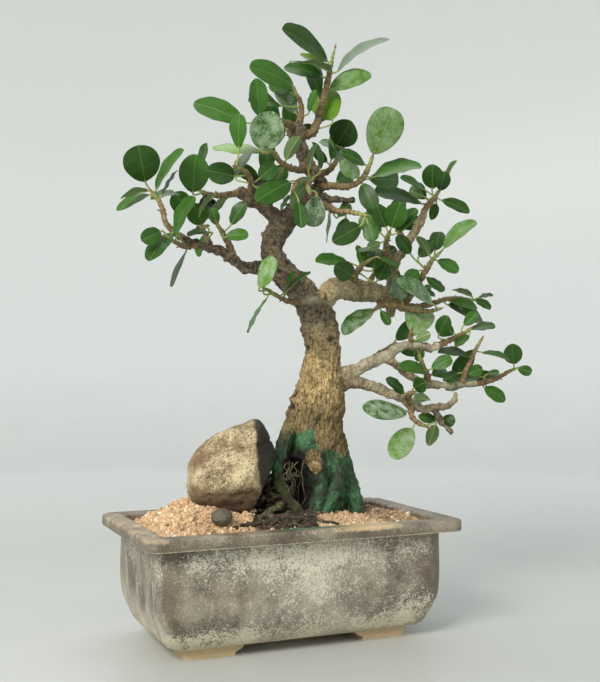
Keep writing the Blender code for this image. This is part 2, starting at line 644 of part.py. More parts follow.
def arch_cutter(name, half, reach, along_x, group):
    """Make the cutter of the cloud-cut gap between the feet, through the pot's base."""
    profile = [(-half + step, height) for step, height in ARCH_STEPS]
    profile += [(half - step, height) for step, height in reversed(ARCH_STEPS)]
    rings = []
    for side in (-reach, reach):
        rings.append([(u, side, z) if along_x else (side, u, z) for u, z in profile])
    return place(name, loft(rings, name), group)


def make_pot(parts, cutters):
    """Make the pot: walls, lobed rim, four feet and two drain holes."""
    rings = [pot_ring(*level) for level in OUTER_WALL]
    for level in RIM_EDGE:
        rings.append([(x, y, z + LOBE_RISE * lobe(x, y)) for x, y, z in pot_ring(*level)])
    rings += [pot_ring(*level) for level in INNER_WALL]
    pot = place("pot", loft(rings, "pot"), parts)
    feet_rings = [
        rounded_ring(FOOT_HALF_LENGTH, FOOT_HALF_WIDTH, FOOT_CORNER, z) for z in (0.0, FOOT_TOP)
    ]
    feet = place("feet", loft(feet_rings, "feet"), cutters)
    arches = [
        arch_cutter("arch_long", ARCH_HALF_LENGTH, FOOT_HALF_WIDTH + CUT_PAST, True, cutters),
        arch_cutter("arch_short", ARCH_HALF_WIDTH, FOOT_HALF_LENGTH + CUT_PAST, False, cutters),
    ]
    combine(feet, arches, "DIFFERENCE")
    combine(pot, [feet], "UNION")
    drains = []
    for side in (-1, 1):
        work = bmesh.new()
        bmesh.ops.create_cone(
            work, cap_ends=True, segments=DRAIN_SIDES, radius1=DRAIN_RADIUS * MM,
            radius2=DRAIN_RADIUS * MM, depth=CUT_PAST * MM,
        )
        bmesh.ops.translate(work, verts=work.verts, vec=Vector((side * DRAIN_X, 0, FOOT_TOP)) * MM)
        drains.append(place("drain", mesh_from(work, "drain"), cutters))
    combine(pot, drains, "DIFFERENCE")
    keep_largest(pot)
    dress(pot, "glazed_clay", GLAZED_CLAY)
    return pot


def make_screen(side, parts, cutters):
    """Make one square of plastic mesh, which lies on the floor over a drain hole."""
    name = "drain_screen_left" if side < 0 else "drain_screen_right"
    low = FLOOR_TOP + GAP
    middle = side * DRAIN_X
    screen = block(
        name, (middle - SCREEN_HALF, -SCREEN_HALF, low),
        (middle + SCREEN_HALF, SCREEN_HALF, low + SCREEN_THICK), parts,
    )
    holes = []
    for column in (-1, 1):
        for row in (-1, 1):
            x = middle + column * SCREEN_PITCH
            y = row * SCREEN_PITCH
            half = SCREEN_HOLE / 2
            holes.append(block(
                "hole", (x - half, y - half, low - CUT_PAST), (x + half, y + half, low + CUT_PAST), cutters,
            ))
    combine(screen, holes, "DIFFERENCE")
    keep_largest(screen)
    dress(screen, "screen_plastic", SCREEN_PLASTIC)
    return screen


def soil_height(x, y):
    """Give the soil's surface above the table: mounds and small ripples, low at the walls."""
    height = SOIL_LEVEL
    for rise, mid_x, mid_y, spread_x, spread_y in MOUNDS:
        height += rise * math.exp(-((x - mid_x) / spread_x) ** 2 - ((y - mid_y) / spread_y) ** 2)
    height += SOIL_RIPPLE * math.sin(x * 0.31 + y * 0.17) * math.cos(y * 0.29 - x * 0.11)
    inset = INNER_WALL[0][1]
    to_wall = min(POT_HALF_LENGTH - inset - abs(x), POT_HALF_WIDTH - inset - abs(y))
    return min(height, SOIL_AT_WALL + SOIL_SLOPE * max(0.0, to_wall))


def stone_reach(direction):
    """Give how far the stone reaches from its middle in a direction."""
    forward = (-VIEW_POINT + Vector((0, 0, VIEW_POINT.z))).normalized()
    right = Vector((forward.y, -forward.x, 0))
    total = 0.0
    for across, towards, up, distance in STONE_FACES:
        face = right * across - forward * towards + Vector((0, 0, up))
        total += max(0.0, face.normalized().dot(direction) / distance) ** STONE_SHARPNESS
    return total ** (-1 / STONE_SHARPNESS)


def rock(name, middle, reach, levels, group):
    """Make a stone from a ball whose points move out to the reach in their direction."""
    work = bmesh.new()
    bmesh.ops.create_icosphere(work, subdivisions=levels, radius=1.0)
    for vert in work.verts:
        direction = vert.co.normalized()
        vert.co = (middle + direction * reach(direction)) * MM
    tidy(work)
    return place(name, mesh_from(work, name), group)


def ellipsoid_reach(direction, radii):
    """Give how far an ellipsoid reaches from its middle in a direction."""
    return 1 / math.sqrt(sum((c / radius) ** 2 for c, radius in zip(direction, radii)))


def pebble_reach(direction):
    """Give how far the pebble reaches from its middle in a direction."""
    return ellipsoid_reach(direction, PEBBLE_RADII)


def make_soil(parts, cutters):
    """Make the soil inside the walls, with holes for what stands and lies in it."""
    rings = []
    for z, inset, radius in reversed(INNER_WALL):
        rings.append([(x, y, z + GAP) for x, y, z in pot_ring(z, inset + GAP, radius)])
    rings.pop()
    z, inset, radius = INNER_WALL[0]
    for scale in SOIL_RINGS:
        edge = pot_ring(z, inset + GAP, radius)
        rings.append([(x * scale, y * scale, soil_height(x * scale, y * scale)) for x, y, _ in edge])
    soil = place("soil", loft(rings, "soil"), parts)
    holes = [tube("hole", TRUNK[:BURIED_TRUNK], cutters, TRUNK_SIDES, grow=HOLE_GAP)]
    for route in ROOTS.values():
        holes.append(tube("hole", route, cutters, TWIG_SIDES, grow=HOLE_GAP))
    stone_middle, pebble_middle = seen_at(*STONE_SEEN), seen_at(*PEBBLE_SEEN)
    holes.append(rock("hole", stone_middle, lambda way: stone_reach(way) + GAP, STONE_LEVELS, cutters))
    holes.append(rock("hole", pebble_middle, lambda way: pebble_reach(way) + GAP, PEBBLE_LEVELS, cutters))
    for side in (-1, 1):
        reach = SCREEN_HALF + 2 * GAP
        holes.append(block(
            "hole", (side * DRAIN_X - reach, -reach, FLOOR_TOP - CUT_PAST),
            (side * DRAIN_X + reach, reach, FLOOR_TOP + SCREEN_THICK + 2 * GAP), cutters,
        ))
    combine(soil, holes, "DIFFERENCE")
    keep_largest(soil)
    dress(soil, "sandy_soil", SANDY_SOIL)
    return soil


def wood_sides(route):
    """Give the bevel resolution of a limb: fewer sides where it is thin."""
    return BRANCH_SIDES if max(radius for *_, radius in route) > THIN_WOOD else TWIG_SIDES


def make_trunk(parts, cutters):
    """Make the trunk with its hollow, roots and main branches as one grown piece."""
    trunk = tube("trunk", TRUNK, parts, TRUNK_SIDES)
    hollow = rock(
        "hollow", seen_at(*HOLLOW_SEEN), lambda way: ellipsoid_reach(way, HOLLOW_RADII),
        PEBBLE_LEVELS, cutters,
    )
    combine(trunk, [hollow], "DIFFERENCE")
    limbs = [tube(name, route, cutters, TWIG_SIDES) for name, route in ROOTS.items()]
    limbs += [tube(name, route, cutters, wood_sides(route)) for name, route in WOOD.items()]
    combine(trunk, limbs, "UNION")
    keep_largest(trunk)
    dress(trunk, "bark", BARK)
    return trunk


def stem_points(shoot):
    """Give the seen places and depths along a shoot's stems where a petiole may start."""
    places = []
    for stem in shoot.stems:
        for low, high in zip(stem[1:], stem[2:]):
            for step in range(ROOT_STEPS):
                share = step / (ROOT_STEPS - 1)
                places.append(tuple(a + (b - a) * share for a, b in zip(low[:3], high[:3])))
    return places


def shoot_leaves(shoot, draw):
    """Give a shoot's seen leaves, then the leaves behind them."""
    leaves = []
    for x0, z0, x1, z1, width, *bow in shoot.leaves:
        leaves.append(Leaf((x0, z0), (x1, z1), width, bow[0] if bow else 0.0, None))
    places = stem_points(shoot)
    for _ in range(shoot.rear):
        front = draw.choice(shoot.leaves)
        spot = draw.choice(places)
        tip_x = (front[0] + front[2]) / 2 + draw.uniform(-REAR_SCATTER, REAR_SCATTER)
        tip_z = (front[1] + front[3]) / 2 + draw.uniform(-REAR_SCATTER, REAR_SCATTER)
        base = (spot[0] + (tip_x - spot[0]) * REAR_START, spot[1] + (tip_z - spot[1]) * REAR_START)
        leaves.append(Leaf(base, (tip_x, tip_z), REAR_WIDTH, 0.0, REAR_REACH))
    return leaves


def pose_leaf(leaf, shoot, side, shift):
    """Turn a seen leaf into points in space.

    A blade that looks too narrow for its length is rolled about its midrib, and one that
    looks too short leans to the front or the back, as side says. The shift moves it in
    depth. Gives the petiole's root, the blade's base and tip, its upward normal, its
    width and its sideways bow.
    """
    (x0, z0), (x1, z1) = leaf.base, leaf.tip
    length = math.hypot(x1 - x0, z1 - z0)
    ahead = ((x1 - x0) / length, (z1 - z0) / length)

    def awkwardness(place):
        """Say how far a stem point is from where the petiole would come straight from."""
        behind = math.dist(place[:2], (x0 - PETIOLE * ahead[0], z0 - PETIOLE * ahead[1]))
        forward = (x0 - place[0]) * ahead[0] + (z0 - place[1]) * ahead[1]
        return behind + BEND_COST * max(0.0, BEND_ROOM - forward)

    spot = min(stem_points(shoot), key=awkwardness)
    root = seen_at(*spot)
    width = max(abs(leaf.seen_width), length / SLIMMEST)
    if leaf.reach is None:
        reach = side * math.sqrt(max(length * LEAN, width * BROADEST) ** 2 - length ** 2)
        base = seen_at(x0, z0, spot[2] + shift / 2)
        tip = seen_at(x1, z1, spot[2] + shift + reach)
    else:
        width = leaf.seen_width
        base = seen_at(x0, z0, spot[2] + REAR_STALK + shift / 2)
        tip = seen_at(x1, z1, spot[2] + leaf.reach + shift)
    along = (tip - base).normalized()
    to_viewer = (VIEW_POINT - base).normalized()
    facing = (to_viewer - along * to_viewer.dot(along)).normalized()
    across = along.cross(facing)
    shown = min(1.0, abs(leaf.seen_width) / width)
    turn = math.copysign(math.sqrt(1 - shown ** 2), across.z)
    normal = facing * math.copysign(shown, leaf.seen_width) + across * turn
    return root, base, tip, normal.normalized(), width, leaf.bow


def leaf_mesh(pose, name, swell=0.0, petiole=True):
    """Make one leaf; swell makes it that much bigger all over."""
    root, base, tip, normal, width, bow = pose
    along = tip - base
    across = normal.cross(along).normalized()
    lift = along.length * BLADE_ARCH
    sections = []
    if petiole:
        stalk = (base - root).normalized()
        side = (across - stalk * across.dot(stalk)).normalized()
        rise = (normal - stalk * normal.dot(stalk) - side * normal.dot(side)).normalized()
        sections.append((root, side * (PETIOLE_THICK / 2 + swell), rise * (PETIOLE_THICK / 2 + swell)))
    for t, share in BLADE_OUTLINE:
        hump = 4 * t * (1 - t)
        middle = base + along * t + normal * (lift * hump) + across * (bow * hump)
        sections.append((middle, across * (width / 2 * share + swell), normal * (BLADE_THICK / 2 + swell)))
    rings = [
        [middle - side - rise, middle + side - rise, middle + side + rise, middle - side + rise]
        for middle, side, rise in sections
    ]
    return loft(rings, name)


def surface(mesh):
    """Give a mesh as a tree that finds crossings."""
    return BVHTree.FromPolygons(
        [vert.co.copy() for vert in mesh.vertices], [tuple(face.vertices) for face in mesh.polygons]
    )


def leaf_surface(pose, swell=0.0, petiole=True):
    """Give a leaf as a tree that finds crossings."""
    mesh = leaf_mesh(pose, "trial", swell, petiole)
    tree = surface(mesh)
    bpy.data.meshes.remove(mesh)
    return tree


def settle_leaf(leaf, shoot, wood, own, others):
    """Find the smallest shift in depth at which a leaf crosses nothing else.

    Its petiole may touch the other leaves of its own shoot, which it is joined to.
    """
    for shift in SHIFTS:
        for side in (-1, 1):
            pose = pose_leaf(leaf, shoot, side, shift)
            stalk, along = pose[1] - pose[0], pose[2] - pose[1]
            if stalk.normalized().dot(along.normalized()) < SHARPEST_BEND:
                continue
            whole = leaf_surface(pose, CLEARANCE)
            blade = leaf_surface(pose, CLEARANCE, petiole=False)
            if any(whole.overlap(tree) for tree in wood + others):
                continue
            if not any(blade.overlap(tree) for tree in own):
                return pose
    print("no free place:", shoot.name, leaf)
    return None


def make_shoots(parts, cutters, trunk):
    """Make every leafy shoot: its stems and leaves in one piece, cut clear of its branch."""
    stems = {}
    for shoot in SHOOTS:
        stems[shoot.name] = [
            tube(f"{shoot.name}_{i}", route, cutters, TWIG_SIDES) for i, route in enumerate(shoot.stems)
        ]
    trees = {name: [surface(stem.data) for stem in group] for name, group in stems.items()}
    draw = random.Random(REAR_SEED)
    others = []
    poses = {}
    for shoot in SHOOTS:
        wood = [surface(trunk.data)]
        for name, group in trees.items():
            if name != shoot.name:
                wood += group
        poses[shoot.name] = []
        own = []
        for leaf in shoot_leaves(shoot, draw):
            pose = settle_leaf(leaf, shoot, wood, own, others)
            if pose is not None:
                poses[shoot.name].append(pose)
                own.append(leaf_surface(pose, petiole=False))
        others += [leaf_surface(pose) for pose in poses[shoot.name]]
    for shoot in SHOOTS:
        first, *rest = stems[shoot.name]
        leaves = []
        for i, (root, *rest_of_pose) in enumerate(poses[shoot.name]):
            sunk = root + (root - rest_of_pose[0]).normalized() * (ROOT_SUNK + ROOT_STEP * i)
            leaves.append(place("leaf", leaf_mesh((sunk, *rest_of_pose), "leaf"), cutters))
        body = place(shoot.name, first.data, parts)
        bpy.data.objects.remove(first)
        combine(body, rest + leaves, "UNION")
        collars = []
        for parent in shoot.parents:
            route, sides = (TRUNK, TRUNK_SIDES)
            if parent in WOOD:
                route, sides = WOOD[parent], wood_sides(WOOD[parent])
            collars.append(tube("collar", route, cutters, sides, grow=GAP))
        combine(body, collars, "DIFFERENCE", "MANIFOLD")
        keep_largest(body)
        dress(body, shoot.name, LEAF_GREEN)


def centre_on_base(parts):
    """Move the whole object so that the middle of its box's base lies at the origin."""
    corners = [thing.matrix_world @ vert.co for thing in parts.objects for vert in thing.data.vertices]
    low = Vector([min(corner[i] for corner in corners) for i in range(3)])
    high = Vector([max(corner[i] for corner in corners) for i in range(3)])
    middle = Vector(((low.x + high.x) / 2, (low.y + high.y) / 2, low.z))
    for thing in parts.objects:
        thing.location -= middle


def main():
    """Build every piece."""
    clear_scene()
    parts = new_collection(OBJECT_NAME)
    cutters = new_collection("cutters")
    make_pot(parts, cutters)
    for side in (-1, 1):
        make_screen(side, parts, cutters)
    make_soil(parts, cutters)
    stone = rock("stone", seen_at(*STONE_SEEN), stone_reach, STONE_LEVELS, parts)
    dress(stone, "beige_stone", BEIGE_STONE)
    pebble = rock("pebble", seen_at(*PEBBLE_SEEN), pebble_reach, PEBBLE_LEVELS, parts)
    dress(pebble, "grey_stone", GREY_STONE)
    trunk = make_trunk(parts, cutters)
    make_shoots(parts, cutters, trunk)
    bpy.context.view_layer.update()
    centre_on_base(parts)


main()
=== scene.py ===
"""The looks of a ficus compacta bonsai in its pot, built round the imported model.

Sizes are in millimetres and turn to metres where a mesh is made. Places are in the pot's own
frame: X along its long side to the right, Y away from the front, Z up from the table. The
tree was measured as it is seen from VIEW_POINT, on the upright plane Y = 0: a place is given
as x and z on that plane, with a depth Y, and slides along its line of sight to that depth.
"""

import logging
import math
import random
from collections.abc import Callable, Sequence
from dataclasses import dataclass
from enum import Enum
from functools import partial
from typing import ClassVar

import bmesh
import bpy
import numpy as np
from bpy.types import Mesh, Node, NodeSocket, NodeTree, Object
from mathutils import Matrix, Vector, noise
from mathutils.bvhtree import BVHTree


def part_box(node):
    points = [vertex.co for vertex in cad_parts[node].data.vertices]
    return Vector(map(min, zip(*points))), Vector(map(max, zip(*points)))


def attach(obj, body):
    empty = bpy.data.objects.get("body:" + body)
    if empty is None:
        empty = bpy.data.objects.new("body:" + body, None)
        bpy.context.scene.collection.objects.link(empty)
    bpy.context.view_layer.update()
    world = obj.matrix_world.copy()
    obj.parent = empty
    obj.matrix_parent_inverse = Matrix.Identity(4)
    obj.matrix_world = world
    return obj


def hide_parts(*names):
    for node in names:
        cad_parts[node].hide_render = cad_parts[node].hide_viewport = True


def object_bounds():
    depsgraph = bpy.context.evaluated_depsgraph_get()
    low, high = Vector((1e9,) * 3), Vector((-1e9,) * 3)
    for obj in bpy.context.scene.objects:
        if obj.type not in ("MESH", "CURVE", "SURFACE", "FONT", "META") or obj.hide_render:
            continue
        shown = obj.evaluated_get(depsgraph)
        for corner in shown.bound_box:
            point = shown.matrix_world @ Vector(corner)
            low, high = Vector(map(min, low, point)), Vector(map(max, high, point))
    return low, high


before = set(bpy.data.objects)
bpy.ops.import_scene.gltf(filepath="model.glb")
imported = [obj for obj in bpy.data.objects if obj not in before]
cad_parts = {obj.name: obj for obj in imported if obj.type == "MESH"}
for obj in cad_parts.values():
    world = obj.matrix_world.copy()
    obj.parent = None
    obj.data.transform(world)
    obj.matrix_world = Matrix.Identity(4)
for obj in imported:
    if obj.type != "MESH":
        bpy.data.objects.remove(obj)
CAD_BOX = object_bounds()

MM = 0.001
POT_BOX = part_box("pot")
POT_CENTRE = Vector(((POT_BOX[0].x + POT_BOX[1].x) / 2, (POT_BOX[0].y + POT_BOX[1].y) / 2, 0)) / MM

# The photograph: where its camera stood, how it was turned, and its lens on a 36 mm sensor
VIEW_POINT = Vector((-307, -751, 210))
CAMERA_PLACE = Vector((-306.8, -750.9, 210.2))
CAMERA_AZIMUTH = math.radians(-23.41)
CAMERA_PITCH = math.radians(1.335)
LENS = 54.28
SENSOR = 36

log = logging.getLogger("bonsai")

Route = Sequence[tuple[float, float, float, float]]
Triple = tuple[float, float, float]
Face = tuple[int, ...]
Adder = Callable[..., NodeSocket]

# Settings of a node that mixes colours, and of one that gives first times second plus third
COLOURS = {"output": 2, "data_type": "RGBA"}
MULTIPLY_ADD = {"operation": "MULTIPLY_ADD"}


class Slot(Enum):
    """The material slots, by name."""

    POT = "glazed_clay"
    SOIL = "sandy_soil"
    STONE = "beige_stone"
    PEBBLE = "grey_stone"
    BARK = "bark"
    LEAVES = "leaves"
    SCREEN = "screen_plastic"


class Wood(Enum):
    """How old a limb's bark is, as shares of (grey leader, pale branch)."""

    TRUNK = (0, 0)
    LEADER = (1, 0)
    LIMB = (0.2, 0.4)
    BRANCH = (0, 1)


class Look(Enum):
    """The state of a leaf, as (youth, limescale bloom)."""

    MATURE = (0, 0.04)
    YOUNG = (1, 0)
    FRESH = (0.7, 0.9)
    DUSTY = (0, 0.8)
    CHALKY = (0, 1.3)
    LIVELY = (0.35, 0.45)


def seen_at(x: float, z: float, depth: float) -> Vector:
    """Give the point at a depth that is seen at x and z of the plane Y = 0.

    Args:
        x: Place along the plane, in millimetres.
        z: Height on the plane.
        depth: The point's own Y.

    Returns:
        The point in the pot's frame.
    """
    on_plane = Vector((x, 0, z))
    share = (depth - VIEW_POINT.y) / -VIEW_POINT.y
    return VIEW_POINT + (on_plane - VIEW_POINT) * share


def seen_place(point: Vector) -> tuple[float, float]:
    """Give the x and z at which a point is seen on the plane Y = 0.

    Args:
        point: A point in the pot's frame.

    Returns:
        Its x and z on the plane.
    """
    share = -VIEW_POINT.y / (point.y - VIEW_POINT.y)
    seen = VIEW_POINT + (point - VIEW_POINT) * share
    return seen.x, seen.z


def ease(low: float, high: float, value: float) -> float:
    """Rise smoothly from 0 at low to 1 at high, which may be the lesser of the two."""
    share = max(0, min(1, (value - low) / (high - low)))
    return share * share * (3 - 2 * share)


def bump_at(value: float, middle: float, spread: float) -> float:
    """Give a bell curve's height: 1 at its middle, and less the more spreads away."""
    return math.exp(-(((value - middle) / spread) ** 2))


def wobble(point: Vector, size: float, seed: float = 0.0) -> float:
    """Give smooth noise from about -1 to 1, in waves of a size; a seed shifts it."""
    return noise.noise(point / size + Vector((seed, seed * 1.7, -seed)))


class MeshDraft:
    """Points and faces that gather into one mesh, in millimetres of the pot's frame."""

    def __init__(self) -> None:
        """Start empty."""
        self.points: list[Sequence[float]] = []
        self.faces: list[Face] = []
        self.slots: list[int] = []
        self.marks: dict[str, list[Triple]] = {}

    def add(self, points: list, faces: list[Face], slot: int = 0, **marks: Triple | list[Triple]) -> None:
        """Add a body.

        Args:
            points: Its points.
            faces: Its faces, as numbers of these points.
            slot: Which of the piece's finishes it takes.
            marks: Values for the finish, one for all points or one for each.
        """
        start = len(self.points)
        self.points += points
        self.faces += [tuple(start + i for i in face) for face in faces]
        self.slots += [slot] * len(faces)
        for name, values in marks.items():
            listed = self.marks.setdefault(name, [])
            listed += [(0, 0, 0)] * (start - len(listed))
            listed += values if isinstance(values, list) else [values] * len(points)

    def build(self, name: str, finishes: Sequence["Finish"] = (), sharp: float = 180.0) -> Object:
        """Make the object, smooth except at edges sharper than an angle.

        Args:
            name: The piece's name.
            finishes: Its finishes, in the order of the slots.
            sharp: The angle in degrees.

        Returns:
            The object, in the row frame.
        """
        mesh = bpy.data.meshes.new(name)
        mesh.from_pydata([(Vector(point) + POT_CENTRE) * MM for point in self.points], [], self.faces)
        for mark, values in self.marks.items():
            values += [(0, 0, 0)] * (len(self.points) - len(values))
            write_mark(mesh, mark, values)
        made = show(name, mesh, finishes, sharp)
        mesh.polygons.foreach_set("material_index", self.slots)
        return made


def one_body(
    name: str, points: list, faces: list[Face], finishes: Sequence["Finish"] = (), sharp: float = 180.0,
    **marks: Triple | list[Triple],
) -> Object:
    """Make an object of a single body.

    Args:
        name: The piece's name.
        points: Its points.
        faces: Its faces, as numbers of these points.
        finishes: Its finish, if it has one.
        sharp: Edges that turn by more than this many degrees stay sharp.
        marks: Values for the finish, one for all points or one for each.

    Returns:
        The object, in the row frame.
    """
    draft = MeshDraft()
    draft.add(points, faces, **marks)
    return draft.build(name, finishes, sharp)


def write_mark(mesh: Mesh, name: str, values: Sequence[Triple]) -> None:
    """Store three values at each point of a mesh, for its finish to read."""
    layer = mesh.attributes.new(name, "FLOAT_VECTOR", "POINT")
    layer.data.foreach_set("vector", np.array(values, np.float32).ravel())


def show(
    name: str, mesh: Mesh, finishes: Sequence["Finish"], sharp: float = 180.0
) -> Object:
    """Put a mesh in the scene, shaded smooth, with its finishes.

    Args:
        name: The piece's name.
        mesh: Its mesh.
        finishes: Its finishes, in the order of its material slots.
        sharp: Edges that turn by more than this many degrees stay sharp.

    Returns:
        The object.
    """
    mesh.materials.clear()
    for finish in finishes:
        mesh.materials.append(finish.material())
    mesh.shade_smooth()
    if sharp < 180:
        mesh.set_sharp_from_angle(angle=math.radians(sharp))
    made = bpy.data.objects.new(name, mesh)
    bpy.context.scene.collection.objects.link(made)
    return made


def settled_in(piece: Object, slot: Slot, replaced: str = "") -> Object:
    """Keep a piece inside the plain model's box, give it its body, and hide the plain node that it replaces.

    Args:
        piece: The piece.
        slot: Not used.
        replaced: The node that it replaces, if it does.

    Returns:
        The piece.
    """
    mesh = piece.data
    places = np.empty(3 * len(mesh.vertices), np.float32)
    mesh.vertices.foreach_get("co", places)
    kept = places.reshape(-1, 3).clip(*(np.array(corner, np.float32) for corner in CAD_BOX))
    mesh.vertices.foreach_set("co", kept.ravel())
    mesh.update()
    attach(piece, "root")
    if replaced:
        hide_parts(replaced)
    return piece


def shaped(thing: Object) -> Mesh:
    """Give the object's mesh with its modifiers applied, and remove the object.

    Args:
        thing: The object.

    Returns:
        The mesh.
    """
    bpy.context.view_layer.update()
    mesh = bpy.data.meshes.new_from_object(thing.evaluated_get(bpy.context.evaluated_depsgraph_get()))
    bpy.data.objects.remove(thing)
    return mesh


def combined(target: Object, tool: Object, operation: str) -> Object:
    """Join a tool to the target or cut it out of it.

    Args:
        target: The object that is changed.
        tool: The other one, which is removed.
        operation: UNION or DIFFERENCE.

    Returns:
        The new object.
    """
    step = target.modifiers.new("combine", "BOOLEAN")
    step.operation = operation
    step.object = tool
    step.solver = "EXACT"
    name = target.name
    mesh = shaped(target)
    bpy.data.objects.remove(tool)
    return show(name, mesh, ())


def places_of(mesh: Mesh) -> list[Vector]:
    """Give a mesh's points in millimetres of the pot's frame."""
    return [vert.co / MM - POT_CENTRE for vert in mesh.vertices]


def surface_of(mesh: Mesh) -> BVHTree:
    """Give a mesh as a tree of faces, in millimetres of the pot's frame."""
    return BVHTree.FromPolygons(places_of(mesh), [tuple(face.vertices) for face in mesh.polygons])


def skin(rings: list[list[Vector]]) -> tuple[list[Vector], list[Face]]:
    """Close a skin over rings of equal count, with a flat cap at both ends.

    Args:
        rings: The rings, from the first end to the last.

    Returns:
        Its points and faces.
    """
    count = len(rings[0])
    faces: list[Face] = [tuple(range(count))[::-1]]
    for level in range(len(rings) - 1):
        for i in range(count):
            j = (i + 1) % count
            low, high = level * count, (level + 1) * count
            faces.append((low + i, low + j, high + j, high + i))
    last = (len(rings) - 1) * count
    faces.append(tuple(range(last, last + count)))
    return [point for ring in rings for point in ring], faces


def how_far_out(place: Vector, radii: Triple) -> float:
    """Give how far out a place lies from an ellipsoid's middle, 1 on its surface."""
    return math.sqrt(sum((c / radius) ** 2 for c, radius in zip(place, radii)))


@dataclass(frozen=True)
class Stop:
    """One stop along a limb, with its own sideways directions."""

    middle: Vector
    radius: float
    ahead: Vector
    side: Vector
    rise: Vector
    travelled: float

    def out(self, angle: float) -> Vector:
        """Give the sideways direction at an angle round the limb."""
        return self.side * math.cos(angle) + self.rise * math.sin(angle)


def smooth_line(knots: Sequence[tuple], places: Sequence[float], step: float) -> list[tuple]:
    """Read a smooth curve through knots, each a tuple of values that all change smoothly.

    Args:
        knots: The knots' values, each a number or a Vector.
        places: How far along the curve each knot lies.
        step: The wanted distance between the points that are given.

    Returns:
        The values at each point, with the distance last.
    """
    last = len(knots) - 1

    def slope(which: int, i: int) -> float | Vector:
        """Give how fast one value changes at a knot."""
        low, high = max(0, i - 1), min(last, i + 1)
        return (knots[high][which] - knots[low][which]) / (places[high] - places[low])

    line = []
    for i in range(last):
        span = places[i + 1] - places[i]
        count = max(1, round(span / step))
        for k in range(count + (i == last - 1)):
            t = k / count
            back, ahead = (1 + 2 * t) * (1 - t) ** 2, t * t * (3 - 2 * t)
            leave, arrive = t * (1 - t) ** 2 * span, t * t * (t - 1) * span
            values = [
                knots[i][which] * back + knots[i + 1][which] * ahead + slope(which, i) * leave
                + slope(which, i + 1) * arrive for which in range(len(knots[0]))
            ]
            line.append((*values, places[i] + span * t))
    return line


def stops_along(knots: Sequence[tuple[Vector, float]], step: float) -> list[Stop]:
    """Give the stops of a limb whose sideways directions never spin.

    Args:
        knots: Middle and radius at each knot.
        step: The wanted distance between stops.

    Returns:
        The stops.
    """
    places = [0]
    for (low, _), (high, _) in zip(knots, knots[1:]):
        places.append(places[-1] + (high - low).length)
    line = smooth_line(knots, places, step)
    side = None
    stops = []
    for i, (middle, radius, travelled) in enumerate(line):
        ahead = (line[min(i + 1, len(line) - 1)][0] - line[max(i - 1, 0)][0]).normalized()
        if side is None:
            side = ahead.orthogonal()
        side = (side - ahead * side.dot(ahead)).normalized()
        stops.append(Stop(middle, radius, ahead, side, ahead.cross(side), travelled))
    return stops


def seen_stops(route: Route, step: float) -> list[Stop]:
    """Give the stops of a limb that is stated as seen."""
    return stops_along([(seen_at(x, z, depth), radius) for x, z, depth, radius in route], step)


def limb_rings(
    stops: list[Stop], sides: int, relief: Callable[[Stop, float], float] = lambda stop, angle: 0.0
) -> list[list[Vector]]:
    """Give a ring of points round each stop, and a shrinking pair at both ends.

    Args:
        stops: The limb's stops.
        sides: How many points a ring has.
        relief: How far the surface stands out at a stop and an angle.

    Returns:
        The rings.
    """
    rings = []
    ends = ((stops[0], -1, 0.55, 0.25), (stops[0], -1, 0.85, 0.1))
    tail = ((stops[-1], 1, 0.85, 0.1), (stops[-1], 1, 0.55, 0.25))
    middle = tuple((stop, 0, 1, 0) for stop in stops[1:-1])
    for stop, way, share, push in ends + middle + tail:
        ring = []
        for i in range(sides):
            angle = 2 * math.pi * i / sides
            reach = (stop.radius + relief(stop, angle)) * share
            ring.append(stop.middle + stop.out(angle) * reach + stop.ahead * (way * push * stop.radius))
        rings.append(ring)
    return rings


def linear(hex_colour: str) -> tuple[float, float, float, float]:
    """Turn an sRGB hex colour to linear light.

    Args:
        hex_colour: The colour as #rrggbb.

    Returns:
        Red, green, blue and alpha.
    """
    shares = [int(hex_colour[i:i + 2], 16) / 255 for i in (1, 3, 5)]
    light = [s / 12.92 if s <= 0.04045 else ((s + 0.055) / 1.055) ** 2.4 for s in shares]
    return (*light, 1)


def add_node(
    tree: NodeTree, kind: str, sockets: Sequence | dict, output: int | str = 0, **settings: object
) -> NodeSocket:
    """Add a node with its settings, values and links.

    Args:
        tree: The material's nodes.
        kind: The node's type, without the word ShaderNode before it.
        sockets: What its inputs take, in order or by name or number: another node's output,
            a value, or a colour as #rrggbb.
        output: Which of its outputs is given back.
        settings: Its own settings.

    Returns:
        That output.
    """
    node = tree.nodes.new(f"ShaderNode{kind}")
    for name, value in settings.items():
        setattr(node, name, value)
    for name, value in sockets.items() if isinstance(sockets, dict) else enumerate(sockets):
        if isinstance(value, NodeSocket):
            tree.links.new(value, node.inputs[name])
        else:
            node.inputs[name].default_value = linear(value) if isinstance(value, str) else value
    return node.outputs[output]


def pot_place(add: Adder) -> NodeSocket:
    """Give the surface's place in millimetres of the pot's frame."""
    shown = add("TexCoord", (), "Object")
    return add("VectorMath", (shown, (1 / MM,) * 3, -POT_CENTRE), **MULTIPLY_ADD)


def mark_of(add: Adder, name: str) -> tuple[NodeSocket, ...]:
    """Give the three values that a mesh carries under a name."""
    stored = add("Attribute", (), "Vector", attribute_name=name)
    return tuple(add("SeparateXYZ", (stored,)).node.outputs)


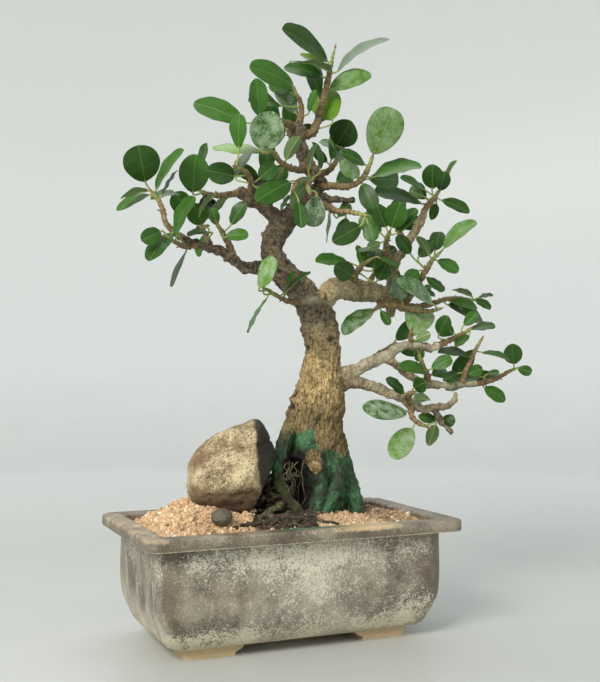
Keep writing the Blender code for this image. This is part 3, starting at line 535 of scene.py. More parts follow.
@dataclass(frozen=True)
class Finish:
    """A finish that can dress a piece."""

    title: ClassVar[str] = ""
    ior: float = 1.5

    def material(self) -> bpy.types.Material:
        """Make the material, or give it where it is made already.

        Returns:
            The material.
        """
        known = bpy.data.materials.get(self.title)
        if known is not None:
            return known
        made = bpy.data.materials.new(self.title)
        made.use_nodes = True
        self.paint(partial(add_node, made.node_tree), made.node_tree.nodes["Principled BSDF"])
        return made

    def paint(self, add: Adder, shader: Node) -> None:
        """Lay out the nodes that the add function adds, and link them to the shader."""
        raise NotImplementedError

    def settle(
        self, add: Adder, shader: Node, base: NodeSocket | str, layers: Sequence[tuple],
        roughness: tuple, height: NodeSocket, depth: float,
    ) -> None:
        """Lay colours over each other, and give the shader colour, roughness and relief.

        Args:
            add: Adds a node to the material.
            shader: Its Principled BSDF.
            base: The lowest colour.
            layers: The share and the colour of each layer, from below upwards.
            roughness: What it follows, from which value to which, and what it is at both.
            height: Relief from 0 to 1.
            depth: How deep the relief is, in millimetres.
        """
        for share, tone in layers:
            base = add("Mix", {0: share, 6: base, 7: tone}, **COLOURS)
        rough = add("MapRange", roughness)
        normal = add("Bump", {"Height": height, "Distance": depth * MM, "Strength": 1})
        for name, socket in (("Base Color", base), ("Roughness", rough), ("Normal", normal)):
            shader.id_data.links.new(socket, shader.inputs[name])
        shader.inputs["IOR"].default_value = self.ior


@dataclass(frozen=True)
class LimedStoneware(Finish):
    """Moulded stoneware with a thin brown glaze, dulled by lime from years of hard water.

    To the eye: a grey-brown, half-gloss body under a chalky film that breaks up into specks,
    yellower and thicker along the bottom, with fine dark cracks, bare clay on the feet and
    green stain where the rim stays wet.
    """

    title: ClassVar[str] = "stoneware_glazed_limed"
    body: str = "#7f7361"
    shade: str = "#544b3e"
    lime: str = "#cac4b5"
    flake: str = "#ded8c6"
    crust: str = "#cfc6a6"
    clay: str = "#e6d0a8"
    clay_shade: str = "#b0956c"
    stain: str = "#3f7d62"
    glaze_roughness: float = 0.42
    lime_roughness: float = 0.85
    patch_size: float = 13.0
    # Lime specks are 0.5 mm and finer; drawn at 1.2 mm so that they show
    speck_size: float = 1.2
    crack_spacing: float = 8.0

    def paint(self, add: Adder, shader: Node) -> None:
        """Lay lime, clay and stain over the glaze as the pot's marks say.

        Args:
            add: Adds a node to the material.
            shader: Its Principled BSDF.
        """
        place = pot_place(add)
        lime, clay, stain = mark_of(add, "weather")
        streak, thick, crusted = mark_of(add, "flow")
        cloud, patch, speck, blot = (
            add("TexNoise", {"Vector": place, "Scale": 1 / size, "Detail": detail, "Roughness": rough,
                             "Distortion": bend})
            for size, detail, rough, bend in (
                (30, 5, 0.6, 0), (self.patch_size, 6, 0.65, 0), (self.speck_size, 3, 0.7, 0),
                (4.2, 4, 0.6, 0.5),
            )
        )
        runs = add("VectorMath", (place, (0.11, 0.11, 0.04)), operation="MULTIPLY")
        drip = add("TexNoise", {"Vector": runs, "Scale": 1, "Detail": 4})
        mixed = add("Mix", {0: 0.35, 2: cloud, 3: speck})
        body = add("MapRange", (mixed, 0.38, 0.6))
        run_mix = add("Mix", {0: streak, 2: cloud, 3: drip})
        gain = add("Math", (streak, 0.9, 1.1), **MULTIPLY_ADD)
        centred = add("Math", (run_mix, 0.5), operation="SUBTRACT")
        wide = add("Math", (centred, gain, lime), **MULTIPLY_ADD)
        mottled = add("Math", (patch, 0.8, wide), **MULTIPLY_ADD)
        dusted = add("Math", (speck, 0.9, mottled), **MULTIPLY_ADD)
        veil = add("MapRange", (dusted, 0.98, 1.7, 0, 0.68))
        rag = add("Math", (speck, 2, blot), **MULTIPLY_ADD)
        ragged = add("Math", (patch, 0.9, rag), **MULTIPLY_ADD)
        coated = add("Math", (ragged, crusted), operation="ADD")
        film = add("MapRange", (coated, 2.38, 2.62, 0, 0.88))
        crack_place = add("TexNoise", {"Vector": place, "Scale": 1 / 9, "Detail": 3}, "Color")
        bent = add("VectorMath", (crack_place, (16, 16, 16), place), **MULTIPLY_ADD)
        cells = add(
            "TexVoronoi", {"Vector": bent, "Scale": 1 / self.crack_spacing}, "Distance",
            feature="DISTANCE_TO_EDGE",
        )
        worn = add("MapRange", (drip, 0.48, 0.6, 1, 0))
        crack = add("MapRange", (cells, 0.01, 0.055, worn))
        flaked = add("Math", (film, crack), operation="MULTIPLY")
        cover = add("Math", (flaked, veil), operation="MAXIMUM")
        tone = add("Mix", {0: thick, 6: self.flake, 7: self.crust}, **COLOURS)
        pits = add("MapRange", (speck, 0.5, 0.38, 0, 0.6))
        pitted = add("Mix", {0: pits, 6: tone, 7: self.body}, **COLOURS)
        clay_edge = add("Math", (patch, 0.9, clay), **MULTIPLY_ADD)
        clay_share = add("MapRange", (clay_edge, 0.75, 1.15))
        clay_tone = add("Mix", {0: speck, 6: self.clay_shade, 7: self.clay}, **COLOURS)
        stain_edge = add("Math", (speck, 0.8, stain), **MULTIPLY_ADD)
        stain_share = add("MapRange", (stain_edge, 0.7, 1.25, 0, 0.85))
        height = add("Math", (cover, 0.6, speck), **MULTIPLY_ADD)
        layers = (
            (body, self.body), (veil, self.lime), (flaked, pitted), (clay_share, clay_tone),
            (stain_share, self.stain),
        )
        rough = (cover, 0, 0.6, self.glaze_roughness, self.lime_roughness)
        self.settle(add, shader, self.shade, layers, rough, height, 0.35)


@dataclass(frozen=True)
class DampSand(Finish):
    """Washed decomposed granite, damp below and dry on top.

    To the eye: warm orange-beige crumbs with pink and white grains, browner to the right.
    """

    title: ClassVar[str] = "decomposed_granite_sand"
    dry: str = "#dfc197"
    deep: str = "#7a5937"
    soil_darkening: str = "#35271c"
    pink: str = "#d3a88f"
    pale: str = "#efe6d2"
    roughness: float = 0.95
    # Fine grains are 0.3 mm; drawn at 0.9 mm so that they show
    grain_size: float = 0.9

    def paint(self, add: Adder, shader: Node) -> None:
        """Colour each crumb by chance, and darken it as the soil's marks say.

        Args:
            add: Adds a node to the material.
            shader: Its Principled BSDF.
        """
        place = pot_place(add)
        chance, pale, soil_darkening = mark_of(add, "grain")
        cells = add("TexVoronoi", {"Vector": place, "Scale": 1 / self.grain_size}).node
        tint = add("SeparateColor", (cells.outputs["Color"],)).node
        mottle = add("TexNoise", {"Vector": place, "Scale": 1 / 5, "Detail": 4, "Roughness": 0.7})
        share = add("Math", (tint.outputs[0], 0.6, chance), **MULTIPLY_ADD)
        spread = add("Math", (mottle, 0.6, share), **MULTIPLY_ADD)
        tone = add("MapRange", (spread, 0.45, 1.15))
        rosy = add("MapRange", (tint.outputs[1], 0.72, 0.8, 0, 0.6))
        # Darker where the soil mark says: near black in front of the roots, darker about the trunk, browner
        # to the right
        edge = add("Math", (mottle, 0.8, soil_darkening), **MULTIPLY_ADD)
        dark = add("MapRange", (edge, 0.65, 1.15, 0, 0.93))
        layers = ((tone, self.dry), (rosy, self.pink), (pale, self.pale), (dark, self.soil_darkening))
        rough = (tint.outputs[2], 0, 1, self.roughness - 0.15, self.roughness)
        self.settle(add, shader, self.deep, layers, rough, cells.outputs["Distance"], 0.5)


@dataclass(frozen=True)
class WeatheredStone(Finish):
    """A split field stone, worn by weather.

    To the eye: matt grey-beige with tan iron stains, pale scuffs and small dark pits, with painted shade on
    the split face turned from the light, about the bottom, in deep dents and along the crack.
    """

    title: ClassVar[str] = "field_stone_weathered"
    pale: str = "#c6b894"
    body: str = "#7a6a4e"
    iron: str = "#70553a"
    pit_and_shade: str = "#1f1914"
    ior: float = 1.54
    roughness: float = 0.88
    patch_size: float = 14.0
    pit_size: float = 1.6

    def paint(self, add: Adder, shader: Node) -> None:
        """Mix pale and stained patches, open the pits, and lay the painted shade.

        Args:
            add: Adds a node to the material.
            shader: Its Principled BSDF.
        """
        place = pot_place(add)
        # The stone mark: painted shade in deep dents and the crack, painted shade on the turned split face
        # and the bottom, and earth brown low down
        dent_and_crack_shade, shade, earthy = mark_of(add, "stone")
        patch, rust, grit = (
            add("TexNoise", {"Vector": place, "Scale": 1 / size, "Detail": detail, "Roughness": rough,
                             "Distortion": bend})
            for size, detail, rough, bend in (
                (self.patch_size, 7, 0.68, 0), (21, 5, 0.5, 0.6), (self.pit_size, 4, 0.7, 0),
            )
        )
        scuffed = add("Mix", {0: 0.5, 2: patch, 3: grit})
        light = add("MapRange", (scuffed, 0.45, 0.56))
        browned = add("Math", (earthy, 0.22, rust), **MULTIPLY_ADD)
        stained = add("MapRange", (browned, 0.48, 0.64, 0, 0.8))
        open_pits = add("MapRange", (grit, 0.39, 0.29, 0, 0.8))
        # Random pits and the painted shade of dents and crack take the same near black
        depth = add("Math", (open_pits, dent_and_crack_shade), operation="MAXIMUM")
        height = add("Math", (grit, 0.7, patch), **MULTIPLY_ADD)
        layers = ((light, self.pale), (stained, self.iron), (depth, self.pit_and_shade), (shade, self.pit_and_shade))
        rough = (grit, 0, 1, self.roughness + 0.1, self.roughness - 0.1)
        self.settle(add, shader, self.body, layers, rough, height, 0.7)


@dataclass(frozen=True)
class RiverPebble(Finish):
    """A tumbled basalt pebble.

    To the eye: dark blue-grey with fine light flecks and a dull sheen.
    """

    title: ClassVar[str] = "basalt_tumbled"
    dark: str = "#33312d"
    light: str = "#857b68"
    ior: float = 1.6
    roughness: float = 0.62
    # Flecks are 0.3 mm; drawn at 0.8 mm so that they show
    fleck_size: float = 0.8

    def paint(self, add: Adder, shader: Node) -> None:
        """Fleck the stone.

        Args:
            add: Adds a node to the material.
            shader: Its Principled BSDF.
        """
        place = pot_place(add)
        fleck = add(
            "TexNoise", {"Vector": place, "Scale": 1 / self.fleck_size, "Detail": 5, "Roughness": 0.75},
        )
        share = add("MapRange", (fleck, 0.42, 0.68))
        rough = (share, 0, 1, self.roughness, self.roughness + 0.25)
        self.settle(add, shader, self.dark, ((share, self.light),), rough, fleck, 0.3)


@dataclass(frozen=True)
class FicusBark(Finish):
    """Living ficus bark, grown rough low down and smooth on the branches.

    To the eye: ochre plates with dark fissures on the trunk, grey-brown on the old leader,
    pale and ringed on the branches, with teal sealant and moss about the roots; the sealant
    has a painted sheen, and the hollow is painted near black as shade.
    """

    title: ClassVar[str] = "ficus_bark_grown"
    plate: str = "#c2aa76"
    fissure: str = "#4f3d26"
    leader: str = "#7d705a"
    leader_fissure: str = "#31281e"
    branch: str = "#b3ac92"
    branch_fissure: str = "#7d7460"
    sealant: str = "#0b2a18"
    # Painted highlight colour of the glossy sealant
    sealant_sheen: str = "#317349"
    moss: str = "#38501f"
    # Near black: painted shade in and about the trunk's hollow, and the dark of knot hearts, rootlets and
    # patches
    dark_patch_and_shade: str = "#120e0b"
    cut_wood: str = "#b59a6c"
    ior: float = 1.45
    roughness: float = 0.9
    plate_width: float = 1.6
    plate_length: float = 5.5

    def paint(self, add: Adder, shader: Node) -> None:
        """Follow the limb's grain, then lay sealant with a painted sheen, moss, dark patches and the painted
        shade of the hollow as the marks say.

        Args:
            add: Adds a node to the material.
            shader: Its Principled BSDF.
        """
        place = pot_place(add)
        grain = add("Attribute", (), "Vector", attribute_name="grain")
        leader, branch, rings = mark_of(add, "wood")
        sealed, mossy, dark_patch_and_shade = mark_of(add, "stain")
        cut, damp, pale = mark_of(add, "scar")
        across, along = 1 / self.plate_width, 1 / self.plate_length
        stretched = add("VectorMath", (grain, (across, across, along)), operation="MULTIPLY")
        plates = add(
            "TexNoise",
            {"Vector": stretched, "Scale": 1, "Detail": 5, "Roughness": 0.62, "Distortion": 0.7},
        )
        bent = add("VectorMath", (plates, (1.2, 1.2, 1.2), stretched), **MULTIPLY_ADD)
        cells = add("TexVoronoi", {"Vector": bent, "Scale": 0.75}, "Distance", feature="DISTANCE_TO_EDGE")
        scaly = add("MapRange", (cells, 0, 0.2, 0.36, 0.6))
        plated = add("Mix", {0: 0.33, 2: plates, 3: scaly})
        crusty = add(
            "TexNoise",
            {"Vector": place, "Scale": 1 / 3.2, "Detail": 5, "Roughness": 0.68, "Distortion": 0.3},
        )
        above = add("Math", (leader, branch), operation="ADD", use_clamp=True)
        aged = add("Math", (above, 0.85), operation="MULTIPLY")
        crust = add("Mix", {0: aged, 2: plated, 3: crusty})
        squat = add("VectorMath", (grain, (0.12, 0.12, 0.75)), operation="MULTIPLY")
        wrinkle = add("TexNoise", {"Vector": squat, "Scale": 1, "Detail": 3, "Roughness": 0.6})
        speck = add("TexNoise", {"Vector": place, "Scale": 1 / 1.4, "Detail": 3, "Roughness": 0.7})
        cloud = add("TexNoise", {"Vector": place, "Scale": 1 / 13, "Detail": 4})
        ringed = add("Math", (rings, 0.45), operation="MULTIPLY")
        relief = add("Mix", {0: ringed, 2: crust, 3: wrinkle})
        gritty = add("Math", (speck, 0.45, relief), **MULTIPLY_ADD)
        open_share = add("MapRange", (gritty, 0.61, 0.8))
        tones = []
        for low, high in (
            (self.fissure, self.plate), (self.leader_fissure, self.leader),
            (self.branch_fissure, self.branch),
        ):
            tones.append(add("Mix", {0: open_share, 6: low, 7: high}, **COLOURS))
        old = add("Mix", {0: leader, 6: tones[0], 7: tones[1]}, **COLOURS)
        bark = add("Mix", {0: branch, 6: old, 7: tones[2]}, **COLOURS)
        cloudy = add("MapRange", (cloud, 0.3, 0.7, 0.62, 1.22))
        soaked = add("MapRange", (damp, 0, 1, 1, 0.55))
        dull = add("Math", (cloudy, soaked), operation="MULTIPLY")
        bleached = add("Mix", {0: pale, 6: bark, 7: self.branch}, **COLOURS)
        toned = add("VectorMath", {0: bleached, 3: dull}, operation="SCALE")
        streaky = add("Math", (speck, cloud), operation="ADD")
        # Painted sheen: lighter patches on the sealant stand for highlights; the moss takes its light and
        # dark patches from the same noise
        sheen_and_moss_patch = add("MapRange", (streaky, 0.9, 1.16))
        sealant_with_sheen = add("Mix", {0: sheen_and_moss_patch, 6: self.sealant, 7: self.sealant_sheen}, **COLOURS)
        seal_edge = add("Math", (cloud, 1.5, sealed), **MULTIPLY_ADD)
        seal_fine = add("Math", (speck, 0.9, seal_edge), **MULTIPLY_ADD)
        seal_share = add("MapRange", (seal_fine, 1.5, 1.95, 0, 0.9))
        moss_edge = add("Math", (speck, 0.9, mossy), **MULTIPLY_ADD)
        moss_share = add("MapRange", (moss_edge, 0.75, 1.2, 0, 0.9))
        tuft = add("Mix", {0: sheen_and_moss_patch, 6: self.leader_fissure, 7: self.moss}, **COLOURS)
        height = add("Math", (speck, 0.3, relief), **MULTIPLY_ADD)
        layers = ((seal_share, sealant_with_sheen), (moss_share, tuft), (dark_patch_and_shade, self.dark_patch_and_shade), (cut, self.cut_wood))
        rough = (seal_share, 0, 1, self.roughness, self.roughness - 0.35)
        self.settle(add, shader, toned, layers, rough, height, 1.1)


@dataclass(frozen=True)
class GreenTwig(Finish):
    """Young ficus wood, petioles and buds, as grown.

    To the eye: yellow-green that turns ochre-brown with age, rusty about the dark leaf scars.
    """

    title: ClassVar[str] = "ficus_twig_grown"
    fresh: str = "#8f9f55"
    aged: str = "#8a7652"
    rust: str = "#563c29"
    scar: str = "#3b2d22"
    bud: str = "#7d4c38"
    ior: float = 1.45
    roughness: float = 0.5

    def paint(self, add: Adder, shader: Node) -> None:
        """Age the wood and darken the scars as the marks say.

        Args:
            add: Adds a node to the material.
            shader: Its Principled BSDF.
        """
        place = pot_place(add)
        age, scar, bud = mark_of(add, "twig")
        fleck = add("TexNoise", {"Vector": place, "Scale": 1 / 1.8, "Detail": 4, "Roughness": 0.65})
        patch = add("TexNoise", {"Vector": place, "Scale": 1 / 3.6, "Detail": 4, "Roughness": 0.6})
        flecked = add("Math", (fleck, 1.3, -0.65), **MULTIPLY_ADD)
        aging = add("Math", (age, 0.75, flecked), **MULTIPLY_ADD)
        share = add("MapRange", (aging, 0.1, 0.65))
        blotch = add("MapRange", (patch, 0.5, 0.66, 0, 0.8))
        rusting = add("Math", (blotch, age), operation="MULTIPLY")
        layers = ((share, self.aged), (rusting, self.rust), (scar, self.scar), (bud, self.bud))
        rough = (share, 0, 1, self.roughness, self.roughness + 0.3)
        self.settle(add, shader, self.fresh, layers, rough, fleck, 0.5)


@dataclass(frozen=True)
class LeafUpper(Finish):
    """The waxy upper side of a ficus leaf, as grown.

    To the eye: deep glossy green with a pale midrib, faint side veins, a thin yellow margin,
    and a chalky bloom on leaves that hard water has dried on.
    """

    title: ClassVar[str] = "ficus_leaf_waxy_upper"
    deep: str = "#143208"
    lively: str = "#39681b"
    young: str = "#628c22"
    rib: str = "#84a356"
    bloom: str = "#a1b49a"
    ior: float = 1.45
    roughness: float = 0.38
    specular_level: float = 0.3
    bloom_roughness: float = 0.65
    rib_width: float = 0.42
    vein_spacing: float = 3.4
    margin_width: float = 0.3

    def paint(self, add: Adder, shader: Node) -> None:
        """Draw midrib, veins and margin in the blade's own millimetres.

        Args:
            add: Adds a node to the material.
            shader: Its Principled BSDF.
        """
        place = pot_place(add)
        aside, ahead, margin = mark_of(add, "blade")
        tone, youth, bloom = mark_of(add, "leaf")
        off_rib = add("Math", (aside,), operation="ABSOLUTE")
        cloud = add("TexNoise", {"Vector": place, "Scale": 1 / 7, "Detail": 4})
        speck = add("TexNoise", {"Vector": place, "Scale": 1 / 1.5, "Detail": 4, "Roughness": 0.7})
        lifted = add("Math", (cloud, 0.5, tone), **MULTIPLY_ADD)
        share = add("MapRange", (lifted, 0.1, 1.35))
        rib = add("MapRange", (off_rib, self.rib_width, 0.1, 0, 0.38))
        slant = add("Math", (off_rib, -0.7, ahead), **MULTIPLY_ADD)
        wave = add("Math", (slant, 2 * math.pi / self.vein_spacing), operation="MULTIPLY")
        swing = add("Math", (wave,), operation="COSINE")
        vein = add("MapRange", (swing, 0.93, 1, 0, 0.1))
        edge = add("MapRange", (margin, self.margin_width, 0.05, 0, 0.6))
        lines = add("Math", (rib, vein), operation="MAXIMUM")
        drawn = add("Math", (lines, edge), operation="MAXIMUM")
        dusty = add("Math", (speck, 0.9, cloud), **MULTIPLY_ADD)
        patchy = add("MapRange", (dusty, 0.78, 1.12, 0, 0.75))
        film = add("Math", (patchy, bloom), operation="MULTIPLY")
        sunk = add("Math", (drawn, -1, cloud), **MULTIPLY_ADD)
        shader.inputs["Specular IOR Level"].default_value = self.specular_level
        layers = ((share, self.lively), (youth, self.young), (drawn, self.rib), (film, self.bloom))
        rough = (film, 0, 1, self.roughness, self.bloom_roughness)
        self.settle(add, shader, self.deep, layers, rough, sunk, 0.3)


@dataclass(frozen=True)
class LeafUnder(Finish):
    """The matt underside of a ficus leaf, as grown.

    To the eye: pale grey-green with a yellow midrib.
    """

    title: ClassVar[str] = "ficus_leaf_matt_under"
    green: str = "#53723d"
    pale: str = "#768f60"
    rib: str = "#a5b878"
    ior: float = 1.45
    roughness: float = 0.6

    def paint(self, add: Adder, shader: Node) -> None:
        """Mottle the blade and draw its midrib.

        Args:
            add: Adds a node to the material.
            shader: Its Principled BSDF.
        """
        place = pot_place(add)
        aside, _, _ = mark_of(add, "blade")
        off_rib = add("Math", (aside,), operation="ABSOLUTE")
        mottle = add("TexNoise", {"Vector": place, "Scale": 1 / 3, "Detail": 4, "Roughness": 0.6})
        rib = add("MapRange", (off_rib, 0.8, 0.2, 0, 0.8))
        rough = (mottle, 0, 1, self.roughness - 0.1, self.roughness + 0.1)
        self.settle(add, shader, self.green, ((mottle, self.pale), (rib, self.rib)), rough, mottle, 0.15)


@dataclass(frozen=True)
class ScreenPlastic(Finish):
    """Moulded black polyethylene mesh.

    To the eye: near-black with a dull sheen and a film of grit.
    """

    title: ClassVar[str] = "polyethylene_moulded"
    black: str = "#1d1e1f"
    grit: str = "#5f574a"
    ior: float = 1.51
    roughness: float = 0.45

    def paint(self, add: Adder, shader: Node) -> None:
        """Dust the plastic.

        Args:
            add: Adds a node to the material.
            shader: Its Principled BSDF.
        """
        place = pot_place(add)
        dust = add("TexNoise", {"Vector": place, "Scale": 1 / 2.2, "Detail": 5, "Roughness": 0.7})
        share = add("MapRange", (dust, 0.5, 0.72, 0, 0.8))
        rough = (share, 0, 1, self.roughness, self.roughness + 0.4)
        self.settle(add, shader, self.black, ((share, self.grit),), rough, dust, 0.2)


@dataclass(frozen=True)
class StudioPaper(Finish):
    """Matt background paper, rolled out.

    To the eye: a pale grey with a faint tooth, greyer about the pot and painted lighter up the wall and away
    from it.
    """

    title: ClassVar[str] = "paper_matt_pale"
    light: str = "#eff3f3"
    dark: str = "#b9bdbb"
    roughness: float = 0.42

    def paint(self, add: Adder, shader: Node) -> None:
        """Give the paper a faint unevenness, a greyer tone about the pot, and painted light: lighter up the
        wall and away from the pot, where the lamps' light falls off.

        Args:
            add: Adds a node to the material.
            shader: Its Principled BSDF.
        """
        place = pot_place(add)
        tooth = add("TexNoise", {"Vector": place, "Scale": 1 / 90, "Detail": 3})
        height = add("SeparateXYZ", (place,)).node.outputs[2]
        away = add("VectorMath", (place,), "Value", operation="LENGTH")
        # Painted light: the paper is made lighter with height and with distance from the pot, where the
        # lamps' light falls off
        raised = add("MapRange", (height, 0, 260, 0, 0.4))
        far = add("MapRange", (away, 450, 1200, 0, 0.6))
        both = add("Math", (raised, far), operation="ADD")
        share = add("Math", (tooth, 0.15, both), **MULTIPLY_ADD)
        rough = (tooth, 0, 1, self.roughness - 0.05, self.roughness + 0.05)
        self.settle(add, shader, self.dark, ((share, self.light),), rough, tooth, 0.02)


# Trunk and branches as (x, z, depth, radius) from below upwards
TRUNK = (
    (31, 66, 2, 18), (30, 86, 2, 25), (28, 104, 2, 28.5), (28, 120, 2, 28.5), (28.5, 136, 1, 27),
    (29, 150, 0, 25.5), (31, 165, 0, 23.8), (34, 180, 0, 21.8), (35.5, 191, 0, 19.4), (36, 202, 0, 16.6),
    (37.5, 213, 0, 14.4), (38, 225, 0, 14), (36.5, 238, 0, 14.4), (32, 250, 0, 13.6), (26, 261, 0, 12.2),
    (17, 272, 0, 11.4), (7, 281, -1, 10.6), (-2.5, 291, -2, 9.6), (-6, 302, -2, 8.8), (-4.4, 311, -1, 9),
    (1, 319, 0, 9.4), (3, 326, 1, 8),
)
WOOD = {
    "left_low": (
        (-4, 289, -2, 6), (-14, 286, -5, 5), (-30, 287, -9, 4.2), (-36, 290, -11, 4.2),
        (-46, 298, -14, 3.6), (-57, 300, -17, 3.3), (-70, 303, -20, 2.9), (-80, 308, -22, 2.6),
    ),
    "left_arm": (
        (2, 322, 1, 7), (-6, 330, -1, 6), (-17, 336, -5, 5), (-25, 340, -8, 5.2), (-33, 346, -11, 5),
    ),
    "left_stub": ((-7, 331, -1, 3.4), (-9, 340, 1, 2.6)),
    "right_arm": (
        (2, 320, 1, 9), (11, 329, 3, 8.2), (20, 338, 4, 7), (30, 348, 6, 6), (36, 356, 8, 5.4),
        (32, 364, 8, 6), (25, 370, 8, 6.2), (20, 382, 7, 5.8), (15, 393, 6, 7.2), (15, 401, 5, 6.4),
    ),
    "right_spur": ((36, 345, 6, 4), (46, 344.5, 2, 3.2), (56, 344, -1, 2.8), (67, 345, -3, 2.4)),
    "mid_limb": (
        (33, 252, 2, 7), (44, 268, 1, 9), (51, 272, 2, 9.4), (61, 272, 4, 9.4), (70, 271, 7, 9),
        (79, 270.5, 10, 8.6), (89, 269, 13, 8), (97, 266, 15, 6.6), (105, 262, 16, 4.6), (115, 258, 17, 4),
    ),
    "mid_stub": ((98, 264, 15, 4.4), (102, 251, 13, 3.2)),
    "mid_rise": (
        (98, 266, 14, 5), (102, 280, 12, 4.3), (103, 290, 11, 4), (109, 301, 9, 3.9), (115, 310, 8, 3.8),
        (120, 318, 7, 3.7), (126, 326, 6, 3.6), (130, 334, 5, 3.4), (133, 341, 4, 3),
    ),
    "low_upper": (
        (38, 196, 0, 6.4), (56, 203, -4, 6), (68, 206, -6, 5.4), (79, 211, -8, 5), (89, 215, -10, 4.7),
        (98, 219, -12, 4.4), (111, 226, -15, 4), (121, 227, -17, 3.8), (130, 226, -19, 3.6),
        (138, 224, -21, 3.5), (147, 227.5, -22, 3.2),
    ),
    "low_middle": (
        (95, 217, -11, 4), (108, 208, -14, 3.6), (116, 203, -15, 3.6), (124, 198, -16, 3.7),
        (134, 194, -17, 3.9), (142, 194, -18, 3.5), (153, 193, -19, 3.1), (168, 193.5, -20, 2.7),
        (182, 194, -20, 2.3),
    ),
    "low_lower": (
        (40, 191, 0, 6), (63, 195, -8, 4.8), (75, 195, -12, 4.5), (87, 191, -16, 4.3), (98, 187, -20, 4.1),
        (112, 182, -25, 3.9), (120, 177, -27, 3.7), (130, 174, -30, 3.6), (142, 175, -33, 3.2),
        (153, 175, -35, 2.8), (161, 180, -36, 2.3), (163, 187, -37, 1.9),
    ),
    "low_stub": ((141, 174, -33, 2.8), (147, 163, -36, 2.4), (158, 154, -38, 1.8)),
}

# Roots, in the same form, from the trunk down into the soil
ROOTS = {
    "root_left": (
        (8, 158, -12, 6), (1, 138, -17, 5.6), (-0.5, 127, -20, 5), (1, 115, -24, 4.6), (8, 104, -28, 4.6),
        (15, 95, -31, 4.6), (22, 87, -33, 4), (27, 78, -34, 3),
    ),
    "root_front": (
        (33, 165, -14, 6), (33, 140, -21, 6.6), (34, 120, -27, 7), (35, 109, -30, 6.4), (32, 99, -33, 6),
        (29, 88, -35, 5.4), (27, 78, -36, 3.6),
    ),
    "root_front_right": (
        (46, 150, -17, 6), (50, 130, -22, 6), (51, 118, -26, 5.6), (45, 105, -30, 5), (38, 92, -32, 4.8),
        (33, 80, -33, 3.4),
    ),
    "root_right": (
        (50, 155, -7, 7), (56, 132, -10, 7), (61, 117, -14, 6.4), (65, 105, -18, 6), (70, 90, -22, 5.6),
        (75, 78, -24, 3.6),
    ),
    "root_far_right": ((50, 142, 8, 8), (57, 113, 12, 7), (61, 99, 16, 6), (64, 82, 19, 4)),
    "root_back_right": ((42, 145, 13, 8), (48, 112, 21, 7.4), (52, 97, 27, 6.4), (55, 80, 32, 4)),
    "root_back": ((28, 148, 16, 9), (26, 112, 25, 8.4), (24, 96, 32, 7), (21, 79, 38, 4)),
    "root_back_left": ((8, 148, 10, 8), (2, 113, 17, 8), (-3, 97, 24, 6.6), (-8, 80, 30, 4)),
    "root_surface": ((9, 103, -25, 3), (-3, 98, -34, 2.6), (-14, 92, -40, 2.2), (-22, 84, -43, 1.8)),
    "root_cut": ((30, 140, -19, 5), (31, 134, -28, 6.4), (31, 129, -33.5, 6.2)),
}


@dataclass(frozen=True)
class Level:
    """One level of the pot's walls."""

    z: float
    inset: float
    corner: float


